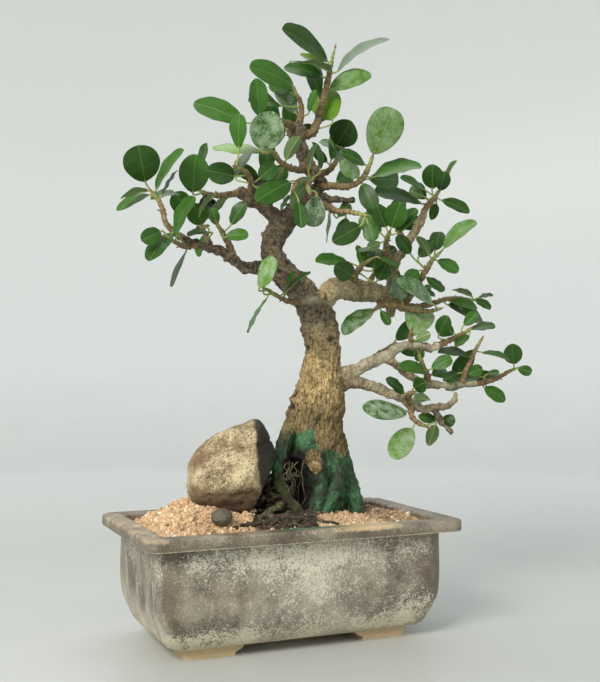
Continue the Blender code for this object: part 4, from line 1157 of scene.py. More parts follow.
@dataclass
class Pot:
    """The rectangular pot: curved walls, a lipped rim with raised lobes, four feet, two drains."""

    half_length: float = 125.0
    half_width: float = 75.0
    belly: tuple[Level, ...] = (
        Level(8, 27, 9), Level(11, 22, 11), Level(20, 17, 12), Level(36, 12.4, 12),
        Level(81, 12, 12),
    )
    lip: tuple[Level, ...] = (
        Level(82, 11.4, 12), Level(82.5, 10, 12), Level(82.6, 5, 11), Level(82.6, 1.4, 10),
        Level(83, 0.4, 10), Level(84, 0, 10), Level(86, 0, 10), Level(88, 0, 10),
        Level(89.2, 0.3, 9.8), Level(89.8, 0.9, 9.4), Level(90, 1.8, 9), Level(90, 3.5, 8.6),
        Level(90, 5.5, 8.2), Level(90, 7.5, 7.8), Level(90, 9.5, 7.4), Level(90, 11.5, 7),
        Level(90, 13.2, 6.6), Level(89.7, 14.4, 6.3), Level(88.6, 15.5, 6),
    )
    inner: tuple[Level, ...] = (
        Level(84, 15.6, 6.3), Level(38, 16.5, 8), Level(20, 22, 9), Level(14, 30, 7),
    )
    lobe_rise: float = 1.6
    lobe_end: tuple[float, float] = (48, 26)
    lobe_round: float = 7.0
    rim_width: float = 14.2
    mitre_depth: float = 0.7
    foot_half: tuple[float, float] = (90, 44)
    foot_corner: float = 6.0
    arch_half: tuple[float, float] = (52, 19)
    arch_line: tuple[tuple[float, float], ...] = (
        (0, -1), (0, 0.6), (0.5, 2.2), (2.2, 3.4), (4.2, 3.9), (5.6, 5), (6.8, 6.8), (9.4, 8),
        (9.4, 12),
    )
    drain_x: float = 60.0
    drain_radius: float = 7.0
    drain_cut: tuple[float, float] = (-5.0, 25.0)
    drain_sides: int = 32
    foot_levels: tuple[float, ...] = (0.0, 0.8, 4.0, 10.0)
    arch_reach: tuple[float, float] = (90.0, 130.0)
    corner_steps: int = 9
    long_steps: int = 64
    short_steps: int = 36
    wall_step: float = 3.0

    def ring(self, level: Level) -> list[Vector]:
        """Give the rounded rectangle at a level.

        Args:
            level: Its height, inset from the rim and corner radius.

        Returns:
            Its points.
        """
        return self.rounded(
            self.half_length - level.inset, self.half_width - level.inset, level.corner, level.z,
        )

    def rounded(self, half_x: float, half_y: float, corner: float, z: float) -> list[Vector]:
        """Give a rounded rectangle.

        Args:
            half_x: Half its length.
            half_y: Half its width.
            corner: Its corner radius.
            z: Its height.

        Returns:
            Its points, a fixed count for any size.
        """
        arcs = []
        for quarter in range(4):
            middle_x = (half_x - corner) * (1 if quarter in (0, 3) else -1)
            middle_y = (half_y - corner) * (1 if quarter < 2 else -1)
            arc = []
            for step in range(self.corner_steps + 1):
                angle = math.radians(90 * (quarter + step / self.corner_steps))
                arc.append(
                    Vector((middle_x + corner * math.cos(angle), middle_y + corner * math.sin(angle), z))
                )
            arcs.append(arc)
        points = []
        for quarter, arc in enumerate(arcs):
            points += arc
            after = arcs[(quarter + 1) % 4][0]
            steps = self.long_steps if quarter in (0, 2) else self.short_steps
            points += [arc[-1].lerp(after, step / steps) for step in range(1, steps)]
        return points

    def lobe(self, x: float, y: float) -> float:
        """Give how far the rim stands up at a place, 0 to 1: lobes end in a half round.

        Args:
            x: Place along the pot.
            y: Place across it.

        Returns:
            A share from 0 to 1.
        """
        raised = 0
        for along, end, outer in (
            (abs(x), self.lobe_end[0], self.half_width - abs(y)),
            (abs(y), self.lobe_end[1], self.half_length - abs(x)),
        ):
            off_middle = min(1, abs(outer - self.rim_width / 2) / self.lobe_round)
            start = end + self.lobe_round * (1 - math.sqrt(1 - off_middle ** 2))
            raised = max(raised, ease(start, start + 3, along))
        return raised

    def finished(self, point: Vector) -> Vector:
        """Move a point of the plain form to the hand-finished one.

        Args:
            point: A point of the plain form.

        Returns:
            The point with lobes, mitres and the unevenness of moulded clay.
        """
        upper = ease(84, 89, point.z)
        rise = self.lobe_rise * self.lobe(point.x, point.y) * upper
        off_mitre = (self.half_length - abs(point.x)) - (self.half_width - abs(point.y))
        rise -= self.mitre_depth * bump_at(off_mitre, 0, 1.8) * upper
        uneven = wobble(point, 24) * 0.35 + wobble(point, 7, 3) * 0.12
        outwards = Vector((point.x / self.half_length, point.y / self.half_width, 0))
        return point + outwards * uneven + Vector((0, 0, rise + uneven * 0.4 * upper))

    def walls(self) -> Object:
        """Make the walls and the rim in one skin.

        Returns:
            The object.
        """
        places = [0]
        for low, high in zip(self.belly, self.belly[1:]):
            places.append(places[-1] + math.hypot(high.z - low.z, high.inset - low.inset))
        knots = [(level.z, level.inset, level.corner) for level in self.belly]
        curve = [Level(*values[:3]) for values in smooth_line(knots, places, self.wall_step)]
        levels = curve + list(self.lip) + list(self.inner)
        rings = [[self.finished(point) for point in self.ring(level)] for level in levels]
        return one_body("pot_walls", *skin(rings))

    def arch(self, half: float, reach: float, along_x: bool) -> Object:
        """Make the cutter of a gap between the feet.

        Args:
            half: Half the gap's width.
            reach: How far it runs to each side.
            along_x: Whether its width lies along X.

        Returns:
            The cutter.
        """
        line = [(-half + step, z) for step, z in self.arch_line]
        line += [(half - step, z) for step, z in reversed(self.arch_line)]
        rings = []
        for side in (-reach, reach):
            rings.append([Vector((u, side, z)) if along_x else Vector((side, u, z)) for u, z in line])
        if not along_x:
            rings.reverse()
        return one_body("arch", *skin(rings))

    def feet(self) -> Object:
        """Make the four feet under one slab.

        Returns:
            The object.
        """
        rings = [self.rounded(*self.foot_half, self.foot_corner, z) for z in self.foot_levels]
        feet = one_body("feet", *skin(rings))
        for half, reach, along_x in zip(self.arch_half, self.arch_reach, (True, False)):
            feet = combined(feet, self.arch(half, reach, along_x), "DIFFERENCE")
        return feet

    def drain(self, side: int) -> Object:
        """Make the cutter of a drain hole, on one side of the middle.

        Args:
            side: -1 for the left one, 1 for the right one.

        Returns:
            The cutter.
        """
        ends = [(Vector((side * self.drain_x, 0, z)), self.drain_radius) for z in self.drain_cut]
        rings = []
        for stop in stops_along(ends, 10):
            around = (2 * math.pi * i / self.drain_sides for i in range(self.drain_sides))
            rings.append([
                stop.middle + stop.side * self.drain_radius * math.cos(angle)
                + stop.rise * self.drain_radius * math.sin(angle) for angle in around
            ])
        return one_body("drain", *skin(rings))

    def weather(self, point: Vector) -> tuple[Triple, Triple]:
        """Say how weathered the pot is at a point.

        Args:
            point: A point of its surface.

        Returns:
            The shares (lime veil, bare clay, green stain) and (streaked, yellowed, crusted).
        """
        x, y, z = point
        side_face = ease(98, 108, abs(x)) * ease(62, 56, abs(y))
        below_lip = ease(84, 80, z)
        lime = 0.3 + 0.42 * bump_at(x, 2, 40) * bump_at(z, 52, 34) + 0.2 * bump_at(z, 72, 12)
        lime += 0.25 * bump_at(z, 12, 10) + 0.2 * wobble(point, 30, 21)
        lime -= 0.3 * bump_at(abs(x), 108, 9) + 0.16 * bump_at(x, 84, 30)
        low_side = 0.2 + 0.6 * bump_at(z, 22, 18)
        lime = (lime * (1 - side_face) + low_side * side_face) * below_lip
        crusted = 0.14 + 0.58 * bump_at(z, 72, 11) * (0.5 + 0.5 * bump_at(x, -20, 62))
        crusted += 0.3 * bump_at(x, 2, 42) * bump_at(z, 50, 26)
        crusted += (0.62 + 0.8 * wobble(point, 18, 22)) * bump_at(z, 12, 11)
        crusted += 0.5 * bump_at(z, 26, 14) * bump_at(x, 92, 24)
        crusted -= 0.3 * bump_at(abs(x), 108, 8) * (1 - side_face) * ease(20, 28, z)
        crusted *= below_lip
        lime += 0.5 * bump_at(z, 82.7, 0.7) + 0.15 * bump_at(z, 86.5, 2)
        crusted += 0.9 * bump_at(z, 82.7, 0.7)
        clay = ease(10.5, 8, z) * 0.75
        on_ledge = ease(87, 89.5, z) * ease(-58, -62, y)
        clay += 0.75 * on_ledge * bump_at(x, 42, 34)
        clay += 0.4 * ease(88.6, 89.5, z) * ease(-106, -114, x)
        stain = 0.9 * on_ledge * bump_at(x, 2, 40) * ease(-74.5, -66, y)
        lime += 0.25 * ease(88.5, 89.8, z)
        crusted += 0.35 * on_ledge * bump_at(x, 20, 70)
        thick = 0.75 * bump_at(z, 12, 11) + bump_at(z, 82.7, 0.8) + 0.7 * on_ledge
        return (lime, clay, stain), (side_face, thick, crusted)

    def build(self) -> Object:
        """Make the pot and dress it.

        Returns:
            The piece.
        """
        pot = combined(self.walls(), self.feet(), "UNION")
        for side in (-1, 1):
            pot = combined(pot, self.drain(side), "DIFFERENCE")
        mesh = pot.data
        marks = [self.weather(point) for point in places_of(mesh)]
        write_mark(mesh, "weather", [weather for weather, _ in marks])
        write_mark(mesh, "flow", [flow for _, flow in marks])
        bpy.data.objects.remove(pot)
        made = show("pot_stoneware", mesh, [LimedStoneware()], 38)
        return settled_in(made, Slot.POT, "pot")


@dataclass(frozen=True)
class Mound:
    """A mound or a hollow of the soil."""

    rise: float
    x: float
    y: float
    spread_x: float
    spread_y: float


@dataclass
class Soil:
    """The sandy soil: a bed with mounds, fine lumps and loose grains."""

    level: float = 86.0
    at_wall: float = 88.0
    slope: float = 0.55
    half_x: float = 109.2
    half_y: float = 59.2
    corner: float = 6.0
    mounds: tuple[Mound, ...] = (
        Mound(26, -80, -12, 42, 42), Mound(10, 22, -12, 50, 45),
        Mound(6, -20, -48, 85, 20), Mound(7, 85, 5, 30, 30),
        Mound(-6, 105, 35, 30, 40), Mound(-6, -95, 58, 40, 22),
    )
    below: tuple[tuple[float, float], ...] = ((84, 15.9), (38, 16.8), (20, 22.3), (14.4, 30.3))
    pitch: float = 1.15
    lumps: float = 2.1
    grain_count: int = 8200
    # One grain in so many lies on the pot's front ledge, and one in so many is white
    ledge_every: int = 24
    white_every: int = 9
    ledge_height: float = 90.1
    seed: int = 5

    def height(self, x: float, y: float) -> float:
        """Give the bed's height at a place, as in the plain model.

        Args:
            x: Place along the pot.
            y: Place across it.

        Returns:
            The height.
        """
        total = self.level
        for mound in self.mounds:
            total += mound.rise * math.exp(
                -((x - mound.x) / mound.spread_x) ** 2 - ((y - mound.y) / mound.spread_y) ** 2
            )
        total += 0.8 * math.sin(x * 0.31 + y * 0.17) * math.cos(y * 0.29 - x * 0.11)
        to_wall = min(self.half_x + 0.3 - abs(x), self.half_y + 0.3 - abs(y))
        return min(total, self.at_wall + self.slope * max(0, to_wall))

    def fine_height(self, x: float, y: float) -> float:
        """Give the height with lumps and crumbs, which fade out towards the walls.

        Args:
            x: Place along the pot.
            y: Place across it.

        Returns:
            The height.
        """
        place = Vector((x, y, 0))
        inner = ease(0, 12, min(self.half_x - abs(x), self.half_y - abs(y)))
        lumpy = wobble(place, 9) * (0.6 + 0.9 * ease(20, -50, x)) + 0.5 * wobble(place, 3.4, 4)
        return self.height(x, y) + self.lumps * lumpy * (0.25 + 0.75 * inner)

    def soil_darkening(self, x: float, y: float) -> float:
        """Give how dark the soil is: near black in front of the roots, darker about the trunk, browner to the
        right.

        Args:
            x: Place along the pot.
            y: Place across it.

        Returns:
            A share from 0 to 1.
        """
        across, up = seen_place(Vector((x, y, self.height(x, y))))
        roots = ease(-27, -18, across) * ease(37, 27, across) * ease(77, 83, up)
        roots *= ease(4, -8, y)
        trunk = bump_at(x, 26, 34) * bump_at(y, -4, 34)
        right = 0.5 * ease(45, 75, x)
        return min(1, roots + 0.75 * trunk + right)

    def bed(self) -> Object:
        """Make the bed: a fine sheet with walls down to the pot's floor.

        Returns:
            The object.
        """
        columns = round(2 * self.half_x / self.pitch)
        rows = round(2 * self.half_y / self.pitch)
        points, marks = [], []
        for row in range(rows + 1):
            for column in range(columns + 1):
                x = -self.half_x + 2 * self.half_x * column / columns
                y = -self.half_y + 2 * self.half_y * row / rows
                over_x = abs(x) - (self.half_x - self.corner)
                over_y = abs(y) - (self.half_y - self.corner)
                if over_x > 0 and over_y > 0:
                    share = max(over_x, over_y) / math.hypot(over_x, over_y)
                    x -= math.copysign(over_x * (1 - share), x)
                    y -= math.copysign(over_y * (1 - share), y)
                points.append(Vector((x, y, self.fine_height(x, y))))
                tone = 0.3 + 0.35 * wobble(points[-1], 4, 8)
                marks.append((tone, 0, self.soil_darkening(x, y)))
        wide = columns + 1
        starts = [row * wide + column for row in range(rows) for column in range(columns)]
        faces: list[Face] = [(i, i + 1, i + wide + 1, i + wide) for i in starts]
        edge = list(range(columns))
        edge += [row * wide + columns for row in range(rows)]
        edge += [rows * wide + column for column in range(columns, 0, -1)]
        edge += [row * wide for row in range(rows, 0, -1)]
        upper = edge
        for z, inset in self.below:
            scale_x = (Pot.half_length - inset) / self.half_x
            scale_y = (Pot.half_width - inset) / self.half_y
            lower = list(range(len(points), len(points) + len(edge)))
            points += [Vector((points[i].x * scale_x, points[i].y * scale_y, z)) for i in edge]
            marks += [(0.3, 0, 0.4)] * len(edge)
            for k in range(len(edge)):
                following = (k + 1) % len(edge)
                faces.append((upper[following], upper[k], lower[k], lower[following]))
            upper = lower
        faces.append(tuple(reversed(upper)))
        return one_body("soil_bed", points, faces, [DampSand()], 60, grain=marks)

    def grains(self) -> Object:
        """Scatter loose grains over the bed and a few over the pot's front ledge.

        Returns:
            The object.
        """
        draw = np.random.default_rng(self.seed)
        turn = (1 + math.sqrt(5)) / 2
        corners = np.array(
            [(0, s, t * turn) for s in (-1, 1) for t in (-1, 1)]
            + [(s, t * turn, 0) for s in (-1, 1) for t in (-1, 1)]
            + [(t * turn, 0, s) for s in (-1, 1) for t in (-1, 1)]
        ) / math.hypot(1, turn)
        hull = self.hull_faces(corners)
        all_points, all_marks, faces = [], [], []
        for i in range(self.grain_count):
            on_ledge = i % self.ledge_every == 0
            white = i % self.white_every == 0
            if on_ledge:
                x = float(draw.normal(38, 30))
                y = float(draw.uniform(-72.5, -61))
                z = self.ledge_height
                size = float(draw.uniform(0.3, 0.75))
            else:
                left = draw.random() < 0.62
                x = float(draw.uniform(-106, -8) if left else draw.uniform(-30, 107))
                y = float(draw.uniform(-57.5, 57.5))
                z = self.fine_height(x, y)
                size = float(min(2.4, 0.4 + draw.exponential(0.5 if left else 0.35)))
                if y < -53 and -15 < x < 70 and i % 2 == 0:
                    white = True
                    size = float(draw.uniform(0.6, 1.1))
            if abs(x) > 118:
                continue
            base = len(all_points) * 12
            stretch = draw.uniform(0.65, 1.2, 3) * size
            turned = self.turned(draw) @ np.diag(stretch)
            shaken = corners * draw.uniform(0.78, 1.15, (12, 1))
            all_points.append(shaken @ turned.T + np.array((x, y, z + size * 0.25)))
            tone = float(draw.uniform(0.15, 0.85))
            soil_darkening = self.soil_darkening(x, y) * (0.8 if not white else 0.15)
            mark = (tone, 0.85 if white else 0, min(soil_darkening, 0.85))
            all_marks += [mark] * 12
            faces += [tuple(base + k for k in face) for face in hull]
        points = [Vector(point) for point in np.concatenate(all_points)]
        return one_body("soil_grains", points, faces, [DampSand()], 30, grain=all_marks)

    @staticmethod
    def hull_faces(corners: np.ndarray) -> list[Face]:
        """Give the 20 outward triangles of an icosahedron's 12 corners.

        Args:
            corners: The corners.

        Returns:
            The triangles, as numbers of the corners.
        """
        reach = 1.2
        faces = []
        for a in range(12):
            for b in range(a + 1, 12):
                for c in range(b + 1, 12):
                    sides = (corners[a] - corners[b], corners[b] - corners[c], corners[c] - corners[a])
                    if max(np.linalg.norm(side) for side in sides) > reach:
                        continue
                    out = np.cross(sides[0], sides[1]) @ (corners[a] + corners[b] + corners[c])
                    faces.append((a, b, c) if out > 0 else (a, c, b))
        return faces

    @staticmethod
    def turned(draw: np.random.Generator) -> np.ndarray:
        """Give a random turn as a 3 by 3 matrix."""
        square, _ = np.linalg.qr(draw.normal(size=(3, 3)))
        return square * np.sign(np.linalg.det(square))

    def build(self) -> list[Object]:
        """Make bed and grains and give them the soil's place."""
        return [settled_in(piece, Slot.SOIL, "soil") for piece in (self.bed(), self.grains())]


@dataclass(frozen=True)
class Split:
    """One flat face of the stone, as the way it faces and its distance from the middle."""

    across: float
    towards: float
    up: float
    distance: float


@dataclass
class Stone:
    """The split stone that leans beside the trunk."""

    seen: Triple = (-41, 133, -14)
    splits: tuple[Split, ...] = (
        Split(-0.34, 0, 0.94, 26), Split(-0.68, 0, 0.74, 24.8), Split(-0.94, 0, 0.33, 29.2),
        Split(-1, 0, -0.1, 32.1), Split(-0.62, 0, -0.78, 36.7), Split(-0.06, 0, -1, 34),
        Split(0.89, 0, -0.45, 29.6), Split(0.97, 0, -0.23, 33.7), Split(0.97, 0, 0.24, 35.9),
        Split(0.84, 0, 0.54, 37.7), Split(-0.25, 0.9, 0.3, 25), Split(0.83, 0.55, 0.1, 34),
        Split(-0.78, 0.6, 0.15, 30), Split(0, 0.8, -0.6, 34), Split(-0.2, 0.5, 0.85, 31),
        Split(0, -1, 0, 24), Split(-0.7, -0.7, 0, 30), Split(0.7, -0.7, 0, 31),
        Split(0, -0.6, 0.8, 31),
    )
    sharpness: float = 26.0
    fineness: int = 6

    def __post_init__(self) -> None:
        """Work out the way each face looks."""
        self.middle = seen_at(*self.seen)
        self.forward = Vector((-VIEW_POINT.x, -VIEW_POINT.y, 0)).normalized()
        self.right = Vector((self.forward.y, -self.forward.x, 0))
        self.faces = []
        for split in self.splits:
            face = self.right * split.across - self.forward * split.towards + Vector((0, 0, split.up))
            self.faces.append(face.normalized() / split.distance)

    def reach(self, way: Vector) -> float:
        """Give how far the stone reaches from its middle in a direction."""
        total = sum(max(0, face.dot(way)) ** self.sharpness for face in self.faces)
        return total ** (-1 / self.sharpness)

    def relief(self, point: Vector) -> float:
        """Give the height of scuffs, dents and pits at a point, in millimetres.

        Args:
            point: A point in the pot's frame.

        Returns:
            The height in millimetres.
        """
        dents = wobble(point, 15) * 1.6 + wobble(point, 6, 2) * 1.2
        rough = wobble(point, 2.6, 5) * 0.6 + wobble(point, 1.3, 7) * 0.25
        pits = -0.9 * ease(0.3, 0.5, wobble(point, 3.6, 9))
        return dents + rough + pits

    def build(self) -> Object:
        """Make the stone and dress it.

        Returns:
            The piece.
        """
        ball = round_form(self.fineness)
        points, marks = [], []
        for way in ball.ways:
            plain = self.middle + way * self.reach(way)
            dent = self.relief(plain)
            x, z = seen_place(plain)
            crack = bump_at(z - 0.3 * (x + 12), 150, 1.1) * ease(-22, -17, x)
            # The split face on the right, turned from the light, is painted dark: painted shade
            ridge = -20 + 0.1 * (163 - z) + wobble(plain, 9, 4) * 1.5
            painted_shade_face = 0.94 * ease(ridge - 1.2, ridge + 1.2, x) * ease(106, 118, z)
            points.append(plain + way * (dent * (1 - 0.6 * painted_shade_face) - 1.5 * crack))
            # Low down the stone is painted darker as contact shade in the sand and browner as earth stain;
            # deep dents and the crack are painted near black as shade in the recesses
            low = ease(122, 100, z)
            marks.append((0.8 * ease(-1.2, -2, dent) + 0.7 * crack, max(painted_shade_face, 0.6 * low), low))
        made = one_body("stone_split", points, ball.faces, [WeatheredStone()], stone=marks)
        return settled_in(made, Slot.STONE, "stone")


@dataclass
class Pebble:
    """The dark pebble that lies in the sand."""

    seen: Triple = (-47, 93.5, -50)
    radii: Triple = (7.6, 6.8, 6.2)
    fineness: int = 5

    def build(self) -> Object:
        """Make the pebble and dress it.

        Returns:
            The piece.
        """
        ball = round_form(self.fineness)
        middle = seen_at(*self.seen)
        points = []
        for way in ball.ways:
            reach = 1 / how_far_out(way, self.radii)
            point = middle + way * reach
            points.append(point + way * (wobble(point, 6) * 1.1 + wobble(point, 2.2, 3) * 0.4))
        made = one_body("pebble_tumbled", points, ball.faces, [RiverPebble()])
        return settled_in(made, Slot.PEBBLE, "pebble")


@dataclass(frozen=True)
class RoundForm:
    """A ball of even triangles: the way to each point, and its faces."""

    ways: list[Vector]
    faces: list[Face]


def round_form(fineness: int) -> RoundForm:
    """Make a ball of even triangles.

    Args:
        fineness: How often its twenty first triangles are split, plus one.

    Returns:
        The ball.
    """
    work = bmesh.new()
    bmesh.ops.create_icosphere(work, subdivisions=fineness, radius=1)
    work.verts.index_update()
    ways = [vert.co.normalized() for vert in work.verts]
    faces = [tuple(vert.index for vert in face.verts) for face in work.faces]
    work.free()
    return RoundForm(ways, faces)


@dataclass
class DrainScreens:
    """The two squares of plastic mesh over the drain holes, whose plain forms stay."""

    names: tuple[str, ...] = ("drain_screen_left", "drain_screen_right")

    def build(self) -> list[Object]:
        """Dress the plain forms.

        Returns:
            The piece.
        """
        made = [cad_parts[name] for name in self.names]
        for piece in made:
            piece.data.materials.clear()
            piece.data.materials.append(ScreenPlastic().material())
        return made


# How a leaf sits: petiole length, the forward room its bend wants and what lacking it costs,
# the slimmest and broadest blade, how much longer a leaf is than it looks, and the leaves behind
PETIOLE = 6
BEND_ROOM = 2.5
BEND_COST = 2
SLIMMEST = 1.75
BROADEST = 1.35
LEAN = 1.06
REAR_REACH = 26
REAR_WIDTH = 15
REAR_STALK = 6
REAR_START = 0.25
REAR_SCATTER = 4
REAR_SEED = 11
ROOT_STEPS = 5
SHIFTS = (0, 6, -6, 12, -12, 18, -18, 24, -24, 30, -30, 36, -36, 44, -44, 52, -52)
# A leaf of the plain model is found where its blade, at these places along and across it, lies
# closer to the plain surface than this
FITTING = 1.6
FITTED_AT = tuple((t, s) for t in (0.15, 0.35, 0.55, 0.75, 0.92) for s in (-0.5, 0, 0.5))
# The bud at a stem's end: how far on, and its radius there
BUD = ((1.6, 1.05), (3.4, 0.7), (5.2, 0.2))

# How grey-brown old bark spreads along these pale branches, from 0 to 1
AGED = {"low_upper": 0, "low_lower": 0.45, "low_middle": 0.1, "low_stub": 0.5}


@dataclass(frozen=True)
class Limb:
    """A trunk, root or branch: its route, the age of its bark and how ringed it is."""

    name: str
    route: Route
    wood: Wood
    ringed: float = 0.0


@dataclass(frozen=True)
class Knot:
    """A healed cut as it is seen: its middle, its radius and how dark its heart is."""

    x: float
    z: float
    radius: float
    dark: float


@dataclass
class Trunk:
    """The trunk with its hollow, roots and main branches: one grown piece."""

    hollow_seen: Triple = (13, 116, -19)
    hollow_radii: Triple = (12, 21, 22)
    voxel: float = 1.0
    smoothing: int = 2
    sample_step: float = 1.5
    trunk_sides: int = 56
    limb_sides: tuple[int, int] = (20, 14)
    # How many points are worked on at once, and how far apart the grains of two limbs are
    batch: int = 4000
    grain_shift: float = 137.0
    # Heights that the sealant reaches on the roots and at which the old cut's collar lies
    sealant_top: float = 159.0
    collar_height: float = 261.0
    knots: tuple[Knot, ...] = (
        Knot(46, 231, 3.4, 0.8), Knot(25, 224, 2.8, 0.85), Knot(12, 190, 4.6, 0.6),
        Knot(53, 101, 3.2, 0.9), Knot(30, 172, 3.6, 0.25), Knot(2, 283, 2.6, 0.4),
        Knot(-3, 306, 2.4, 0.5), Knot(73, 271, 3, 0.2), Knot(12.2, 188, 5.2, 0.95),
        Knot(10.4, 178, 4.4, 0.9),
    )

    def __post_init__(self) -> None:
        """List the limbs and read the course of each."""
        self.limbs = [Limb("trunk", TRUNK, Wood.TRUNK)]
        self.limbs += [Limb(name, route, Wood.TRUNK) for name, route in ROOTS.items()]
        for name, route in WOOD.items():
            kind, ringed = Wood.BRANCH, 0.8
            if name.startswith(("left", "right")):
                kind, ringed = Wood.LEADER, 0.35
            elif name.startswith("mid"):
                kind, ringed = Wood.LIMB, 0.5
            self.limbs.append(Limb(name, route, kind, ringed))
        self.limbs.append(Limb("knob", ((34, 262, 0, 5.2), (36.5, 266.5, -9.5, 4.4)), Wood.LEADER))
        self.courses = [seen_stops(limb.route, self.sample_step) for limb in self.limbs]

    def relief(self, which: int) -> Callable[[Stop, float], float]:
        """Give the swell of a limb's tube: flutes low on the trunk, lumps on the rest.

        Args:
            which: The limb's number.

        Returns:
            How far it stands out at a stop and an angle.
        """
        def swell(stop: Stop, angle: float) -> float:
            """Give the swell at one point.

            Args:
                stop: The stop.
                angle: The angle round it.

            Returns:
                The height in millimetres.
            """
            point = stop.middle + stop.out(angle) * stop.radius
            lumps = wobble(point, 5 + stop.radius, which) * stop.radius * 0.09
            lumps += wobble(point, 4.5, which + 2) * min(0.7, stop.radius * 0.12)
            if which == 0:
                low = ease(215, 120, stop.middle.z)
                flute = math.cos(5 * angle + 0.02 * stop.travelled + 2 * wobble(point, 60))
                return lumps + low * 1.3 * flute
            return lumps

        return swell

    def body(self) -> Object:
        """Join the tubes round one hollow trunk, as one even skin.

        Returns:
            The object.
        """
        trunk = one_body("trunk_core", *skin(limb_rings(self.courses[0], self.trunk_sides, self.relief(0))))
        ball = round_form(5)
        middle = seen_at(*self.hollow_seen)
        points = []
        for way in ball.ways:
            reach = 1 / how_far_out(way, self.hollow_radii)
            points.append(middle + way * (reach + 3.4 * wobble(way * 10, 5) + 1.2 * wobble(way * 10, 2)))
        trunk = combined(trunk, one_body("hollow", points, ball.faces), "DIFFERENCE")
        draft = MeshDraft()
        draft.add(places_of(trunk.data), [tuple(face.vertices) for face in trunk.data.polygons])
        bpy.data.objects.remove(trunk)
        for which, course in enumerate(self.courses[1:], 1):
            sides = self.limb_sides[max(stop.radius for stop in course) <= 4]
            draft.add(*skin(limb_rings(course, sides, self.relief(which))))
        whole = draft.build("trunk_whole")
        step = whole.modifiers.new("even", "REMESH")
        step.mode = "VOXEL"
        step.voxel_size = self.voxel * MM
        soften = whole.modifiers.new("soften", "SMOOTH")
        soften.factor = 0.5
        soften.iterations = self.smoothing
        mesh = shaped(whole)
        return show("trunk_even", mesh, ())

    def nearest(self, points: np.ndarray) -> tuple[np.ndarray, np.ndarray]:
        """Find the limb whose skin each point lies on.

        Args:
            points: The points, in millimetres.

        Returns:
            For each point the number of its stop, and the grain there: two sideways
            millimetres and the millimetres along the limb.
        """
        stops = [stop for course in self.courses for stop in course]
        middles = np.array([stop.middle for stop in stops], np.float32)
        radii = np.array([stop.radius for stop in stops], np.float32)
        axes = [
            np.array([getattr(stop, axis) for stop in stops], np.float32)
            for axis in ("side", "rise", "ahead")
        ]
        travelled = np.array([stop.travelled for stop in stops], np.float32)
        counts = [len(course) for course in self.courses]
        travelled += np.repeat(np.arange(len(counts)) * self.grain_shift, counts)
        best = np.empty(len(points), np.int64)
        for start in range(0, len(points), self.batch):
            part = points[start:start + self.batch, None, :] - middles[None]
            off = np.abs(np.sqrt((part ** 2).sum(2)) - radii[None])
            best[start:start + self.batch] = off.argmin(1)
        away = points - middles[best]
        grain = np.stack([(away * axis[best]).sum(1) for axis in axes], 1)
        grain[:, 2] += travelled[best]
        return best, grain

    def bark(self, point: Vector, grain: Sequence[float], wood: Triple, rings: float) -> float:
        """Give the height of the bark: long plates and fissures, or rings on branches.

        Args:
            point: Where, in the pot's frame.
            grain: The same place along its limb.
            wood: Shares of leader and branch bark.
            rings: How ringed it is.

        Returns:
            Its height in millimetres.
        """
        leader, branch, _ = wood
        rough = 1 - 0.35 * branch
        place = Vector((grain[0] / 2.8, grain[1] / 2.8, grain[2] / 9))
        fissure = 1 - 2.2 * abs(noise.noise(place + Vector((7, 3, 1))))
        plates = 0.5 * noise.noise(place * 2.3)
        old = min(1, leader + branch)
        height = (1 - 0.75 * old) * (plates - 0.8 * ease(0.5, 0.97, fissure))
        turns = grain[2] / 3.1 + 2.4 * wobble(point, 7)
        wrinkle = 0.5 + 0.5 * math.cos(2 * math.pi * turns)
        height += rings * 0.2 * (wrinkle - 0.5) * (1 + wobble(point, 9, 3))
        height += 0.4 * wobble(point, 2.4, 4) * rough + 1.3 * old * rough * wobble(point, 4.5, 6)
        height += rough * (1.1 * wobble(point, 9, 11) + 0.7 * wobble(point, 4.2, 13))
        warts = ease(0.3, 0.6, wobble(point, 4, 8))
        return height + warts * (0.75 + 0.4 * leader)

    def stains(self, point: Vector, limb: int) -> tuple[Triple, float]:
        """Say what lies on the bark.

        Args:
            point: A point of it.
            limb: The number of the limb that it belongs to.

        Returns:
            The shares (sealed, mossy, dark), the dark one being painted shade in and about the hollow and
            dark stain on the cut root, and how far the point lies in a hollow.
        """
        x, z = seen_place(point)
        edge = self.sealant_top - 14 * ease(29, 35, x) - 5 * ease(45, 58, x)
        edge += 5 * wobble(point, 9, 23) + 2.5 * wobble(point, 3.5, 24)
        sealed = 0.92 * ease(edge + 4, edge - 3, point.z) if limb <= len(ROOTS) else 0
        sealed *= {"root_cut": 0, "root_surface": 0.55}.get(self.limbs[limb].name, 1)
        mossy = ease(-4, 0, x) * ease(22, 18, x) * ease(131, 124, z) * ease(-10, -18, point.y)
        mossy = 0.9 * mossy if self.limbs[limb].name == "root_left" else 0
        away = point - seen_at(*self.hollow_seen)
        reach = how_far_out(away, self.hollow_radii)
        # Painted shade: the bark inside the hollow and about its mouth is painted near black
        hollow = ease(1.2, 1.02, reach) if limb == 0 else 0
        hollow_shade_and_stain = 0.92 * ease(1.6, 1.1, reach + 0.35 * wobble(point, 6)) * (1 - mossy)
        # On the cut root the dark share is random dark stain instead
        if self.limbs[limb].name == "root_cut":
            hollow_shade_and_stain, hollow = 0.3 * ease(0.1, 0.5, wobble(point, 3, 15)), 0
        return (sealed * (1 - 0.8 * mossy), mossy, max(hollow, hollow_shade_and_stain)), hollow

